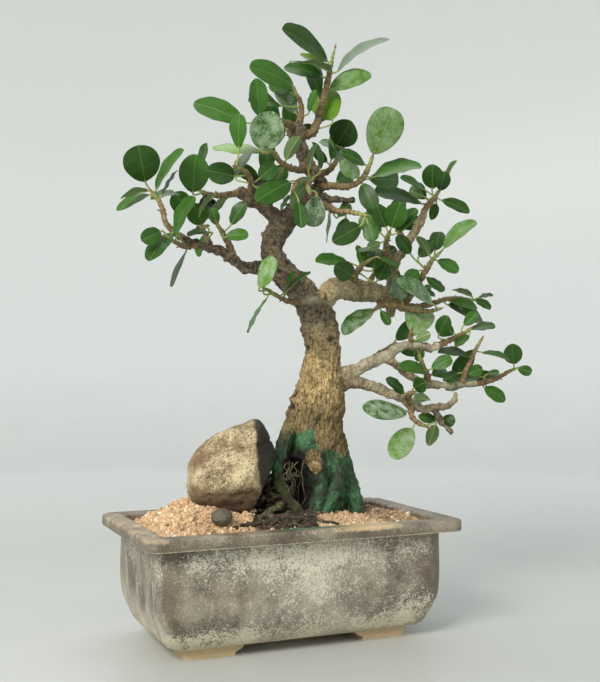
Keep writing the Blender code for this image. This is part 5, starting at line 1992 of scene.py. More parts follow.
    def build(self) -> Object:
        """Make the wood, work the bark and dress it.

        Returns:
            The piece.
        """
        body = self.body()
        mesh = body.data
        places = places_of(mesh)
        best, grain = self.nearest(np.array(places, np.float32))
        owner = [which for which, course in enumerate(self.courses) for _ in course]
        stops = [stop for course in self.courses for stop in course]
        grains, woods, stains, scars, moved = [], [], [], [], []
        for vert, point, which, local in zip(mesh.vertices, places, best, grain):
            limb = owner[which]
            stop = stops[which]
            kind = self.limbs[limb]
            leader, branch = kind.wood.value
            ringed = kind.ringed
            if limb == 0:
                leader = ease(200, 252, point.z)
                ringed = 0.35 * leader
            elif kind.wood is Wood.BRANCH and kind.name in AGED:
                leader = AGED[kind.name] + 0.6 * ease(
                    36, 14, stop.travelled,
                ) + 0.3 * wobble(point, 12, 33)
                leader = min(0.9, max(0, leader))
                branch = 1 - leader
            stain, hollow = self.stains(point, limb)
            normal = vert.normal
            rise = self.bark(point, local, (leader, branch, 0), ringed) * (1 - 0.5 * hollow)
            cut = 0
            if kind.name in ("root_cut", "knob") and stop in self.courses[limb][-8:]:
                cut = ease(0.45, 0.8, normal.dot(stop.ahead)) * (0.7 + wobble(point, 2.2, 16))
                rise = rise * (1 - 0.7 * cut) + 0.9 * wobble(point, 2.4, 17)
            collar = 0
            if limb == 0:
                ragged = self.collar_height + 2.5 * wobble(point, 7) + 1.2 * wobble(point, 3)
                collar = bump_at(point.z, ragged, 2.6) * (0.75 + wobble(point, 5, 3))
            rise += 1.3 * collar
            damp = ease(192, 168, point.z) if limb <= len(ROOTS) else 0
            # The dark share carries the painted shade of the hollow and the dark hearts of the knots
            dark_patch_and_shade = stain[2]
            x, z = seen_place(point)
            if normal.dot(VIEW_POINT - point) > 0 and stop.radius > 4:
                for knot in self.knots:
                    off = math.hypot(x - knot.x, z - knot.z)
                    if off < 3 * knot.radius:
                        rise += 0.8 * bump_at(off, knot.radius * 1.15, knot.radius * 0.45)
                        rise -= 1.6 * bump_at(off, 0, knot.radius * 0.8)
                        dark_patch_and_shade = max(dark_patch_and_shade, knot.dark * ease(knot.radius, knot.radius * 0.4, off))
            moved.append(point + normal * rise)
            grains.append(tuple(float(value) for value in local))
            woods.append((leader, branch, ringed))
            stains.append((stain[0], stain[1], dark_patch_and_shade))
            scars.append((cut, damp, 0.7 * collar))
        flat = np.array([(point + POT_CENTRE) * MM for point in moved], np.float32).ravel()
        mesh.vertices.foreach_set("co", flat)
        mesh.update()
        for name, values in (("grain", grains), ("wood", woods), ("stain", stains), ("scar", scars)):
            write_mark(mesh, name, values)
        bpy.data.objects.remove(body)
        made = show("trunk_bark", mesh, [FicusBark()])
        return settled_in(made, Slot.BARK, "trunk")


@dataclass
class Rootlets:
    """Thin roots: pale curls in the hollow, dark ones over the soil and in a clod of earth."""

    seed: int = 3
    curls: int = 13
    creepers: int = 44
    clump: int = 52
    creeper_step: float = 2.9
    clump_step: float = 2.6
    clod_seen: Triple = (-10, 108, 0)
    clod_radii: Triple = (8.5, 9, 17)
    fresh: Triple = (0, 0.6, 0)
    dark: Triple = (1, 0, 0)

    def strand(
        self, draft: MeshDraft, points: list[Vector], radius: float, wood: Triple, dark_patch_and_shade: float
    ) -> None:
        """Add one strand.

        Args:
            draft: What it is added to.
            points: Its course.
            radius: Its radius, which halves towards its end.
            wood: Its bark's mark.
            dark_patch_and_shade: How dark it is.
        """
        last = len(points) - 1
        knots = [(point, radius * (1 - 0.5 * i / last)) for i, point in enumerate(points)]
        shell = skin(limb_rings(stops_along(knots, 1.2), 7))
        grain = [(0, 0, 1.2 * (i // 7)) for i in range(len(shell[0]))]
        draft.add(*shell, grain=grain, wood=wood, stain=(0, 0, dark_patch_and_shade))

    def add_clod(self, draft: MeshDraft) -> None:
        """Add the lumpy clod of dark earth that the fine roots hold beside the trunk.

        Args:
            draft: What it is added to.
        """
        ball = round_form(6)
        middle = seen_at(*self.clod_seen)
        points = []
        for way in ball.ways:
            reach = 1 / how_far_out(way, self.clod_radii)
            point = middle + way * reach
            lumps = 2.2 * wobble(
                point, 7, 30,
            ) + 1.2 * wobble(point, 3, 31) + 0.6 * wobble(point, 1.4, 32)
            points.append(point + way * lumps)
        draft.add(points, ball.faces, grain=(0, 0, 0), wood=self.dark, stain=(0, 0, 0.35))

    def build(self, soil: Soil) -> Object:
        """Make all strands and dress them.

        Args:
            soil: The bed that they creep over.

        Returns:
            The piece.
        """
        draw = random.Random(self.seed)
        draft = MeshDraft()
        self.add_clod(draft)
        for _ in range(self.curls):
            x = draw.uniform(5, 22)
            top, bottom = draw.uniform(122, 135), draw.uniform(95, 110)
            depth = draw.uniform(-26, -17)
            points = []
            for step in range(8):
                share = step / 7
                sway = draw.uniform(-2.2, 2.2)
                z = top + (bottom - top) * share
                points.append(seen_at(x + sway, z, depth + draw.uniform(-1.5, 1.5) - 4 * share))
            self.strand(
                draft, points, draw.uniform(0.3, 0.85), self.fresh, draw.choice((0.15, 0.6, 0.75, 0.85)),
            )
        for _ in range(self.creepers):
            x, y = draw.uniform(-24, 22), draw.uniform(-50, -18)
            heading = math.radians(draw.uniform(140, 280))
            points = []
            radius = draw.uniform(0.7, 2)
            for _ in range(draw.randint(8, 16)):
                points.append(Vector((x, y, soil.height(x, y) + radius * draw.uniform(0.1, 1.3))))
                heading += draw.uniform(-0.75, 0.75)
                x += self.creeper_step * math.cos(heading)
                y = max(-55, y + self.creeper_step * math.sin(heading) * 0.7)
            self.strand(draft, points, radius, self.dark, draw.uniform(0.1, 0.75))
        for _ in range(self.clump):
            x = draw.uniform(-19, 4)
            z = draw.uniform(93, 124 if x > -12 else 108)
            depth = draw.uniform(-30, -4)
            heading = math.radians(draw.uniform(-50, 30))
            points = []
            for _ in range(draw.randint(5, 8)):
                points.append(seen_at(x, max(91, z), depth))
                heading += draw.uniform(-0.8, 0.8)
                x += self.clump_step * math.cos(heading)
                z += 2 * math.sin(heading)
                depth += draw.uniform(-2, 2)
            self.strand(draft, points, draw.uniform(0.8, 2.1), self.dark, draw.uniform(0.1, 0.75))
        return settled_in(draft.build("rootlets", [FicusBark()]), Slot.BARK)


@dataclass(frozen=True)
class Pose:
    """A leaf in space."""

    root: Vector
    base: Vector
    tip: Vector
    normal: Vector
    width: float
    bow: float


@dataclass(frozen=True)
class Leaf:
    """A leaf as it is seen: base, tip, width and sideways bow.

    A negative width shows its underside. A leaf with a reach points away from the viewer.
    """

    base: tuple[float, float]
    tip: tuple[float, float]
    seen_width: float
    bow: float = 0.0
    reach: float | None = None

    def pose(self, places: list[Triple], side: int, shift: float) -> Pose:
        """Turn the seen leaf into one in space.

        A blade that looks too narrow for its length is rolled about its midrib, and one
        that looks too short leans to the front or the back.

        Args:
            places: Where on its shoot a petiole may start.
            side: Which way it leans, -1 or 1.
            shift: How far it is moved in depth.

        Returns:
            The pose.
        """
        (x0, z0), (x1, z1) = self.base, self.tip
        length = math.hypot(x1 - x0, z1 - z0)
        ahead = ((x1 - x0) / length, (z1 - z0) / length)

        def awkwardness(place: Triple) -> float:
            """Say how far a place is from where the petiole would come straight from.

            Args:
                place: Its x, z and depth.

            Returns:
                A distance, with the cost of a tight bend.
            """
            behind = math.dist(place[:2], (x0 - PETIOLE * ahead[0], z0 - PETIOLE * ahead[1]))
            forward = (x0 - place[0]) * ahead[0] + (z0 - place[1]) * ahead[1]
            return behind + BEND_COST * max(0, BEND_ROOM - forward)

        spot = min(places, key=awkwardness)
        width = max(abs(self.seen_width), length / SLIMMEST)
        if self.reach is None:
            lean = side * math.sqrt(max(length * LEAN, width * BROADEST) ** 2 - length ** 2)
            base = seen_at(x0, z0, spot[2] + shift / 2)
            tip = seen_at(x1, z1, spot[2] + shift + lean)
        else:
            width = self.seen_width
            base = seen_at(x0, z0, spot[2] + REAR_STALK + shift / 2)
            tip = seen_at(x1, z1, spot[2] + self.reach + shift)
        along = (tip - base).normalized()
        to_viewer = (VIEW_POINT - base).normalized()
        facing = (to_viewer - along * to_viewer.dot(along)).normalized()
        across = along.cross(facing)
        shown = min(1, abs(self.seen_width) / width)
        turn = math.copysign(math.sqrt(1 - shown ** 2), across.z)
        normal = facing * math.copysign(shown, self.seen_width) + across * turn
        return Pose(seen_at(*spot), base, tip, normal.normalized(), width, self.bow)

    def settled(self, places: list[Triple], plain: BVHTree) -> Pose | None:
        """Choose the pose that the leaf has in the plain model.

        Args:
            places: Where on its shoot a petiole may start.
            plain: The plain shoot's surface.

        Returns:
            The pose, or None where the plain model has no such leaf.
        """
        best, nearest = None, FITTING
        for shift in SHIFTS:
            for side in (-1, 1):
                pose = self.pose(places, side, shift)
                blade = Blade(pose, Look.MATURE, 0)
                off = 0
                for t, s in FITTED_AT:
                    off += plain.find_nearest(blade.flat(t, s))[3] / len(FITTED_AT)
                if off < nearest:
                    best, nearest = pose, off
        return best


class Blade:
    """The grown form of one leaf on its pose, with its own cup, droop and ripple."""

    rows = 16
    columns = 10
    widest = 0.576
    arch = 0.05
    thickness = 0.5
    petiole_radius = 0.8
    # The midrib under the blade: place along it, and radius
    rib = ((0.08, 0.62), (0.22, 0.5), (0.4, 0.4), (0.6, 0.3), (0.78, 0.18))

    def __init__(self, pose: Pose, look: Look, seed: int) -> None:
        """Draw the leaf's own habits.

        Args:
            pose: Where it is.
            look: Its state.
            seed: Its number.
        """
        self.pose = pose
        self.look = look
        draw = random.Random(seed)
        self.along = pose.tip - pose.base
        self.length = self.along.length
        self.across = pose.normal.cross(self.along).normalized()
        self.cup = draw.uniform(0.06, 0.24) if draw.random() < 0.8 else draw.uniform(-0.12, 0)
        self.droop = draw.uniform(-0.02, 0.05)
        self.twist = draw.uniform(-0.14, 0.14)
        self.ripple = draw.uniform(0.15, 0.6)
        self.waves = draw.uniform(1.5, 3.5)
        self.phase = draw.uniform(0, 6)
        self.tone = draw.uniform(0, 1)
        self.point = draw.uniform(0.42, 0.58)

    def share(self, t: float) -> float:
        """Give the blade's half width at a share of its length, 1 where it is widest.

        Args:
            t: Place along the blade, from 0 to 1.

        Returns:
            A share of half the width.
        """
        low = (max(t, 0) / self.widest) ** 0.68
        high = (max(1 - t, 0) / (1 - self.widest)) ** self.point
        return low * high

    def middle(self, t: float) -> Vector:
        """Give the midrib at a share of the length.

        Args:
            t: Place along the blade, from 0 to 1.

        Returns:
            The point.
        """
        hump = 4 * t * (1 - t)
        pose = self.pose
        return pose.base + self.along * t + pose.normal * (
            self.arch * self.length * hump
        ) + self.across * (pose.bow * hump)

    def flat(self, t: float, s: float) -> Vector:
        """Give a point of the plain flat blade; s runs from -1 to 1 across it."""
        return self.middle(t) + self.across * (self.pose.width / 2 * self.share(t) * s)

    def grown(self, t: float, s: float) -> tuple[Vector, Vector, float]:
        """Give a point of the grown blade, the way up there, and its half width.

        Args:
            t: Place along the blade, from 0 to 1.
            s: Place across it, from -1 to 1.

        Returns:
            The three of them.
        """
        half = max(self.pose.width / 2 * self.share(t), 0.55 if t < 0.1 else 0)
        roll = self.twist * (t - 0.3)
        across = self.across * math.cos(roll) + self.pose.normal * math.sin(roll)
        up = self.pose.normal * math.cos(roll) - self.across * math.sin(roll)
        lift = self.cup * half * abs(s) ** 1.5
        lift += self.ripple * abs(s) ** 3 * math.sin(
            2 * math.pi * self.waves * t + self.phase + (2 if s > 0 else 0)
        )
        lift -= self.droop * self.length * t ** 3
        lift -= 0.28 * math.exp(-((s * half / 0.7) ** 2))
        narrow = 1 - 0.35 * self.cup * abs(s)
        return self.middle(t) + across * (half * s * narrow) + up * lift, up, half

    def add_to(self, draft: MeshDraft) -> None:
        """Add blade and petiole to a draft.

        Args:
            draft: What it is added to.
        """
        points, blade_marks, upper, lower = [], [], [], []
        for i in range(self.rows):
            t = (1 - math.cos(math.pi * i / self.rows)) / 2
            top_row, low_row = [], []
            for j in range(self.columns + 1):
                s = math.sin(math.pi / 2 * (2 * j / self.columns - 1))
                point, up, half = self.grown(t, s)
                mark = (s * half, t * self.length, min(half * (1 - abs(s)), (1 - t) * self.length * 0.7))
                thick = self.thickness / 2 * (1 - s ** 4) * (1 - 0.5 * t)
                top_row.append(len(points))
                points.append(point + up * thick)
                blade_marks.append(mark)
                if i == 0 or j in (0, self.columns):
                    low_row.append(top_row[-1])
                    continue
                low_row.append(len(points))
                points.append(point - up * thick)
                blade_marks.append(mark)
            upper.append(top_row)
            lower.append(low_row)
        tip, _, _ = self.grown(1, 0)
        points.append(tip)
        blade_marks.append((0, self.length, 0))
        last = len(points) - 1
        top_faces: list[Face] = []
        low_faces: list[Face] = []
        for i in range(self.rows):
            for j in range(self.columns):
                if i == self.rows - 1:
                    top_faces.append((upper[i][j], last, upper[i][j + 1]))
                    low_faces.append((lower[i][j], lower[i][j + 1], last))
                    continue
                top_faces.append((upper[i][j], upper[i + 1][j], upper[i + 1][j + 1], upper[i][j + 1]))
                low_faces.append((lower[i][j], lower[i][j + 1], lower[i + 1][j + 1], lower[i + 1][j]))
        state = (self.tone, *self.look.value)
        start = len(draft.points)
        draft.add(points, top_faces, 0, blade=blade_marks, leaf=state)
        draft.faces += [tuple(start + i for i in face) for face in low_faces]
        draft.slots += [1] * len(low_faces)
        self.add_petiole(draft)

    def add_petiole(self, draft: MeshDraft) -> None:
        """Add the stalk, which runs on under the blade as its midrib.

        Args:
            draft: What it is added to.
        """
        pose = self.pose
        gap = (pose.base - pose.root).length
        straight = (pose.base - pose.root).normalized()
        start = pose.root - straight * 0.4
        leave = start + straight * gap * 0.4
        arrive = pose.base - self.along.normalized() * gap * 0.4
        knots = []
        for step in range(7):
            t = step / 6
            point = start * (1 - t) ** 3 + leave * (
                3 * t * (1 - t) ** 2
            ) + arrive * (3 * t * t * (1 - t)) + pose.base * t ** 3
            knots.append((point, self.petiole_radius * (1.2 - 0.35 * min(1, 3 * t))))
        for t, radius in self.rib:
            point, up, _ = self.grown(t, 0)
            knots.append((point - up * (self.thickness / 2 + radius * 0.1), radius))
        stops = stops_along(knots, 1.5)
        draft.add(*skin(limb_rings(stops, 7)), slot=2, twig=(0, 0, 0))


@dataclass(frozen=True)
class Shoot:
    """A leafy shoot: how many leaves it has behind, its stems, and its leaves as seen."""

    name: str
    rear: int
    stems: tuple[Route, ...]
    leaves: tuple[tuple[float, ...], ...]

    def places(self) -> list[Triple]:
        """Give the seen places and depths along the stems where a petiole may start.

        Returns:
            Each as x, z and depth.
        """
        places = []
        for stem in self.stems:
            for low, high in zip(stem[1:], stem[2:]):
                for step in range(ROOT_STEPS):
                    share = step / (ROOT_STEPS - 1)
                    places.append(tuple(a + (b - a) * share for a, b in zip(low[:3], high[:3])))
        return places

    def all_leaves(self, draw: random.Random) -> list[Leaf]:
        """Give the seen leaves, then the leaves behind them.

        Args:
            draw: The numbers that place the leaves behind.

        Returns:
            The leaves.
        """
        leaves = []
        for x0, z0, x1, z1, width, *bow in self.leaves:
            leaves.append(Leaf((x0, z0), (x1, z1), width, bow[0] if bow else 0))
        places = self.places()
        for _ in range(self.rear):
            front = draw.choice(self.leaves)
            spot = draw.choice(places)
            tip_x = (front[0] + front[2]) / 2 + draw.uniform(-REAR_SCATTER, REAR_SCATTER)
            tip_z = (front[1] + front[3]) / 2 + draw.uniform(-REAR_SCATTER, REAR_SCATTER)
            base = (spot[0] + (tip_x - spot[0]) * REAR_START, spot[1] + (tip_z - spot[1]) * REAR_START)
            leaves.append(Leaf(base, (tip_x, tip_z), REAR_WIDTH, 0, REAR_REACH))
        return leaves

    def add_stem(self, draft: MeshDraft, route: Route, seed: int) -> None:
        """Add a stem with leaf scars and the bud at its end.

        Args:
            draft: What it is added to.
            route: Its route.
            seed: Its number.
        """
        draw = random.Random(seed)
        knots = [(seen_at(x, z, depth), radius) for x, z, depth, radius in route]
        onward = (knots[-1][0] - knots[-2][0]).normalized()
        end = knots[-1][0]
        knots += [(end + onward * further, radius) for further, radius in BUD]
        stops = stops_along(knots, 0.9)
        whole = stops[-1].travelled
        scars = [draw.uniform(1.5, 4)]
        while scars[-1] < whole - 9:
            scars.append(scars[-1] + draw.uniform(1.8, 5.2))
        turns = [draw.uniform(0, 6.3) for _ in scars]

        def scar_at(travelled: float) -> float:
            """Give how much of a leaf scar lies at a place along the stem."""
            return max(bump_at(travelled, scar, 0.5) for scar in scars)

        def relief(stop: Stop, angle: float) -> float:
            """Give the swell of a scar, strongest on one side, and of small lumps.

            Args:
                stop: The stop.
                angle: The angle round it.

            Returns:
                The height in millimetres.
            """
            nearest = min(range(len(scars)), key=lambda i: abs(scars[i] - stop.travelled))
            one_side = 0.45 + 0.55 * math.cos(angle - turns[nearest])
            lumps = wobble(stop.middle + stop.out(angle) * stop.radius, 2.6) * 0.36
            return stop.radius * (0.26 * scar_at(stop.travelled) * one_side + lumps)

        rings = limb_rings(stops, 10, relief)
        marks = []
        travels = [0, 0] + [stop.travelled for stop in stops[1:-1]] + [whole, whole]
        for travelled in travels:
            age = ease(0.98, 0.55, travelled / whole)
            bud = ease(whole - 5.5, whole - 4, travelled)
            marks += [(age, 0.7 * scar_at(travelled), 0.8 * bud)] * 10
        draft.add(*skin(rings), slot=2, twig=marks)
        self.add_stubs(draft, [stop for stop in stops if 6 < stop.travelled < whole * 0.7], draw)

    @staticmethod
    def add_stubs(draft: MeshDraft, stops: list[Stop], draw: random.Random) -> None:
        """Add the stubs of fallen leaves' stalks to the older part of a stem.

        Args:
            draft: What they are added to.
            stops: The stops that may carry one.
            draw: The stem's numbers.
        """
        for _ in range(min(6, len(stops) // 7)):
            stop = draw.choice(stops)
            angle = draw.uniform(0, 2 * math.pi)
            out = (stop.out(angle) + stop.ahead * 0.6).normalized()
            foot = stop.middle + out * stop.radius * 0.5
            length = draw.uniform(1.3, 3)
            knots = [(foot, 0.75), (foot + out * length * 0.6, 0.6), (foot + out * (length + 0.6), 0.35)]
            draft.add(*skin(limb_rings(stops_along(knots, 1), 6)), slot=2, twig=(0.9, 0.5, 0))

    def build(self, draw: random.Random, number: int) -> Object:
        """Make the shoot and dress it.

        Args:
            draw: The numbers that place the leaves behind.
            number: The shoot's number, which seeds its leaves' habits.

        Returns:
            The piece.
        """
        plain = surface_of(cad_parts[self.name].data)
        places = self.places()
        draft = MeshDraft()
        for i, route in enumerate(self.stems):
            self.add_stem(draft, route, 1000 + 10 * number + i)
        missing = 0
        for i, leaf in enumerate(self.all_leaves(draw)):
            pose = leaf.settled(places, plain)
            if pose is None:
                missing += 1
                continue
            look = LOOKS.get((self.name, i), Look.MATURE)
            Blade(pose, look, 100 * number + i).add_to(draft)
        if missing:
            log.info("%s: %d leaves have no place in the plain model", self.name, missing)
        made = draft.build(f"{self.name}_grown", [LeafUpper(), LeafUnder(), GreenTwig()])
        return settled_in(made, Slot.LEAVES, self.name)


SHOOTS = (
    Shoot("shoot_left_tip", 0, (
        ((-78, 307, -22, 2.4), (-86, 311, -23, 2.3), (-92, 318, -25, 2), (-96, 331, -26, 1.8),
         (-102, 339, -27, 1.3)),
    ), (
        (-108, 347.5, -113.5, 374.5, 26), (-100, 342, -79, 375, 8, -2), (-95, 339, -83, 358, 3),
        (-106, 341, -127, 334, -5), (-105, 338, -130, 325, 7), (-103, 335, -82, 341, 6),
    )),
    Shoot("shoot_left_low", 0, (
        ((-68, 302, -20, 2.2), (-76, 300, -29, 1.8), (-84, 303, -36, 1.6), (-91, 306, -40, 1.2)),
    ), (
        (-84, 306, -70, 339, 10, 3), (-87, 310, -105.5, 289.5, 12), (-96, 311, -111, 303, 13),
        (-76, 297, -88, 270, 4),
    )),
    Shoot("shoot_left_mid", 1, (
        ((-56, 300, -17, 2.2), (-59, 307, -2, 1.9), (-63, 314, 12, 1.6), (-68, 321, 22, 1.2)),
    ), (
        (-75, 325, -85, 341, 17), (-63, 318, -71, 334, 18), (-58, 312, -67, 293, 7), (-57, 312, -75, 309, 4),
    )),
    Shoot("shoot_left_inner", 0, (
        ((-37, 291, -11, 3), (-41, 302, -18, 2.5), (-47, 312, -26, 2), (-51, 319, -33, 1.3)),
    ), (
        (-40, 319, -28, 337, 11), (-45, 309, -25.5, 312, 10), (-52, 318, -55, 331, 8),
    )),
    Shoot("shoot_left_upper", 1, (
        ((-32, 345, -11, 3), (-43, 342, -11, 2.5), (-58, 341, -8, 2), (-66, 344, -5, 1.4)),
    ), (
        (-71, 342, -69, 371, 23.5), (-64, 352, -60.6, 381, 7), (-42, 343, -59, 323, -6),
        (-54, 341, -67, 324, -4),
    )),
    Shoot("shoot_crown_left", 1, (
        ((-27, 341, -8, 2.6), (-23, 352, -17, 2.2), (-28, 361, -27, 1.8), (-36, 364, -35, 1.3)),
    ), (
        (-37, 357, -60, 360, 18), (-36, 356, -24, 377, 9), (-33.5, 379, -33, 406, 13),
        (-17, 356, -3, 369, 15), (-20, 350, -9, 343, -7),
    )),
    Shoot("shoot_crown_front", 0, (
        ((27, 367, 7, 3), (14, 366, -10, 2.4), (2, 371, -24, 2.1), (-6, 379, -34, 1.7), (-12, 377, -41, 1.2)),
    ), (
        (-14, 378, -55, 379, 8, 2), (4, 367, -9.5, 345, -11), (-14.5, 379, -5.5, 410.5, 27),
        (6, 373, 18, 393, -11),
    )),
    Shoot("shoot_crown_hub", 1, (
        ((16, 399, 5, 3.4), (19, 409, 2, 2.5), (19, 419, -2, 2), (13, 430, -6, 1.4)),
        ((14, 400, 4, 3), (4, 403, -9, 2.4), (-10, 405, -24, 1.5)),
    ), (
        (13, 432.5, -24, 444.5, 17), (15, 411, 0, 433, 16), (-16.5, 406, -20, 435.5, 16),
        (2, 416, -25, 418, 8), (26, 413, 31, 432, 6), (-30, 400, -70.5, 411, 17),
    )),
    Shoot("shoot_apex", 2, (
        ((18, 396, 6, 4.2), (28, 396, 8, 3.6), (33, 405, 9, 3), (36, 416, 9, 2.7), (40, 428, 9, 2.6),
         (42, 437, 9, 2.5), (44, 446, 9, 2.3), (46, 456, 9, 1.7), (49, 467, 9, 0.8)),
    ), (
        (42.6, 456, 2, 477, 15.5), (51.5, 449, 99, 483, 8, 5), (44.5, 433, 82.5, 450, 16),
        (46, 448, 10.6, 451.6, -5, 3), (38, 443, 4.4, 448, 13), (41, 451, 18, 458.5, 6),
        (47, 409, 36, 433, 25),
    )),
    Shoot("shoot_crown_mid", 0, (
        ((31, 362, 8, 3), (27, 359, -8, 2.4), (25, 354, -22, 2.1), (27, 348, -36, 1.5)),
        ((27, 359, -8, 2.2), (17, 357, -20, 1.8), (12, 350, -30, 1.3)),
    ), (
        (10, 356, -18, 339.5, 17), (30, 360, 9, 336.5, -12), (10, 345, 1, 333, -4),
        (17, 341, 19.4, 319.6, 12), (33, 347, 29, 321, 19), (26, 368, 33, 389, -5), (36, 368, 30, 390, 7),
    )),
    Shoot("shoot_crown_right", 1, (
        ((33, 363, 8, 3), (43, 367, 20, 2.5), (50, 375, 32, 2.1), (52, 384, 42, 1.5)),
    ), (
        (51, 389, 64, 410, 27), (45, 392, 59, 364, 4), (60, 381, 36, 391, 9), (42, 374, 30, 383, 9),
    )),
    Shoot("shoot_crown_far_right", 1, (
        ((35, 354, 7, 3.2), (46, 355, -2, 2.8), (62, 356, -13, 2.5), (74, 363, -21, 2.2), (80, 373, -27, 1.8),
         (83, 381, -31, 1.4)),
    ), (
        (84, 384, 103.5, 424, 28), (84, 365, 130, 377.5, 13), (80, 363, 109, 365, 17), (74, 359, 85, 338, 16),
        (71, 364, 54, 375.5, 14), (76.6, 375, 55, 383, 9),
    )),
    Shoot("shoot_crown_low_right", 1, (
        ((26, 343, 5, 3.2), (42, 338.6, -9, 2.8), (51, 335, -18, 2.5), (62, 335, -27, 2.1),
         (77, 333, -37, 1.4)),
    ), (
        (44, 333, 42, 309, 3, 6), (72, 324, 47, 310, 17), (52, 330, 63, 343, 10), (79, 327, 84, 312, 12),
    )),
    Shoot("shoot_mid_top", 1, (
        ((132, 339, 4, 2.8), (137, 346, 10, 2.5), (142, 351, 17, 2.1), (146, 357, 24, 1.4)),
    ), (
        (132, 358, 110, 366.5, 6), (140, 359, 141, 380, 18), (148, 358, 153, 375, 13),
        (153, 366, 164, 385.5, -5), (132, 352, 119, 356, -9), (130, 346, 86.5, 351.6, 12),
        (149, 350, 177, 341, 11), (144, 347, 139.6, 333, 9),
    )),
    Shoot("shoot_mid_centre", 0, (
        ((103, 291, 11, 3), (97, 302, -6, 2.7), (96, 312, -20, 2.3), (99, 320, -33, 1.5)),
    ), (
        (101, 324, 109, 345, 20), (106, 320, 126, 341, 12), (96, 324, 87, 342, 14), (91, 319, 73, 333, 17),
        (91, 311, 79, 306, -9), (92, 305, 70.6, 303, 4),
    )),
    Shoot("shoot_mid_limb", 0, (
        ((66, 272, 5, 3), (68, 284, -10, 2.4), (74, 292, -22, 1.8), (82, 297, -32, 1.2)),
    ), (
        (62, 293, 32, 293, 10), (65, 283, 48, 291, 17), (72, 292, 70, 308, 7), (84, 289, 87, 305, 15),
        (88, 280, 97, 295, 14), (89, 299, 108, 291, 5),
    )),
    Shoot("shoot_mid_right", 1, (
        ((112, 259, 17, 3), (121, 271, 8, 2.8), (128, 281, -1, 2.6), (134, 290, -8, 2.4), (140, 299, -15, 2),
         (147, 305, -21, 1.3)),
    ), (
        (119, 303, 107, 318, 12), (127, 301, 141, 315, 13), (137, 303, 127, 319, -8),
        (143, 307, 147, 324, 14), (151, 309, 184, 334, 13), (145, 298.6, 166, 290, 11),
        (127, 289, 114, 280, 13), (134, 284, 152, 273, 8), (128, 274, 143, 268, 5),
    )),
    Shoot("shoot_mid_low", 1, (
        ((113, 259, 17, 3.2), (127, 259, 20, 2.7), (140, 262, 23, 2.4), (153, 266, 27, 2.1),
         (167, 267, 31, 1.8), (180, 266, 35, 1.3)),
    ), (
        (179, 269, 159.5, 275, -6), (158, 264, 185, 259, 9), (182, 266, 199, 259.6, 8),
        (155, 261, 193, 245, 14), (186, 268, 201, 271, 4), (169, 258, 184, 250, 9),
    )),
    Shoot("shoot_low_upper", 1, (
        ((144, 226, -22, 2.9), (156, 231, -23, 2.6), (164, 234, -24, 2.3), (172, 238, -25, 1.7),
         (177, 241, -26, 1.2)),
    ), (
        (146, 236, 155, 252, 13), (179, 241, 203, 244, 8), (176, 236, 163, 226, 8), (171, 244, 184, 255, 10),
    )),
    Shoot("shoot_low_round", 0, (
        ((120, 227, -17, 2.4), (119, 235, -22, 1.7), (120, 239, -25, 1.2)),
    ), (
        (122, 235, 130, 258, 26), (124, 231, 138, 237, -9),
    )),
    Shoot("shoot_limb_under", 0, (
        ((90, 268, 13, 2.6), (89, 259, 6, 2.1), (86, 256, 2, 1.4)),
        ((88.5, 259.5, 6, 2.2), (96, 259.5, 3.5, 2.4), (104, 259.5, 2.5, 2.5), (113, 257.5, 2, 2.4),
         (128, 255.5, -8, 2), (140, 256, -12, 1.7), (146, 257.5, -13, 1.2)),
    ), (
        (84, 256, 57, 235, 15), (91, 255, 99, 243, 8), (111, 263, 106.5, 284.5, 19),
        (140.5, 261.5, 107, 280, 13.5),
    )),
    Shoot("shoot_low_middle", 1, (
        ((134, 194, -17, 3), (135, 200, -21, 2.5), (131, 209, -25, 2.1), (127, 219, -28, 1.4)),
    ), (
        (139, 207, 159, 216, 12), (135, 204, 108, 208, 11), (125, 213, 129, 224, 9),
    )),
    Shoot("shoot_low_rise", 1, (
        ((168, 193.5, -20, 2.4), (171, 201, -21, 2.2), (176, 211, -22, 2), (182, 222, -24, 1.7),
         (188, 231, -25, 1.2)),
    ), (
        (178, 217, 145, 221, 8), (165, 203, 150, 197, 10), (189, 221, 218, 213.5, 4),
        (174, 203, 190, 207, 11),
    )),
    Shoot("shoot_low_tip", 1, (
        ((179, 194, -20, 2.2), (190, 195, -18, 2.1), (199, 197, -15, 2), (209, 201, -11, 1.9),
         (218, 205, -7, 1.5), (224, 207, -4, 1.1)),
    ), (
        (222, 211, 220, 229, 17), (226, 207, 241, 204, 9), (191, 191, 213, 179, 11), (188, 200, 152, 190, 13),
        (194, 202, 207, 204, 5),
    )),
    Shoot("shoot_low_front", 0, (
        ((118, 178, -26, 3), (117, 185, -36, 2.4), (122, 187, -42, 1.8), (127, 183, -46, 1.3)),
    ), (
        (113, 187, 95, 198, 9), (113, 187, 103, 190, 5), (122, 191, 133, 196, 14), (137, 181, 119, 182, -9),
    )),
    Shoot("shoot_low_hanging", 0, (
        ((121, 177, -27, 3), (119, 170, -34, 2.3), (124, 163, -39, 2), (133, 159, -42, 1.4)),
    ), (
        (115, 172, 76, 173, 15), (120.5, 157.5, 100, 133.5, 19), (143, 160, 136, 143, -11),
    )),
    Shoot("shoot_low_end", 0, (
        ((142, 175, -33, 2.6), (144, 168, -28, 2.1), (146, 163, -24, 1.5)),
    ), (
        (143, 164, 127, 167, 9), (150, 166, 161, 160, 11),
    )),
    Shoot("shoot_fork_sprout", 0, (
        ((24, 260, 0, 3), (7, 261, -13, 2), (-2, 265, -17, 1.7), (-9, 269, -20, 1.3)),
    ), (
        (-16.5, 270.5, -3.5, 295, 13), (-10, 263, -26, 235, 3), (5, 265, 15, 285, 3, 2), (6, 268, 28, 284, 3),
        (-13, 268, -8, 291, 5),
    )),
    Shoot("shoot_back_crown", 0, (
        ((20, 382, 7, 3), (14, 388, 24, 2.4), (8, 396, 38, 2), (2, 402, 50, 1.4)),
    ), (
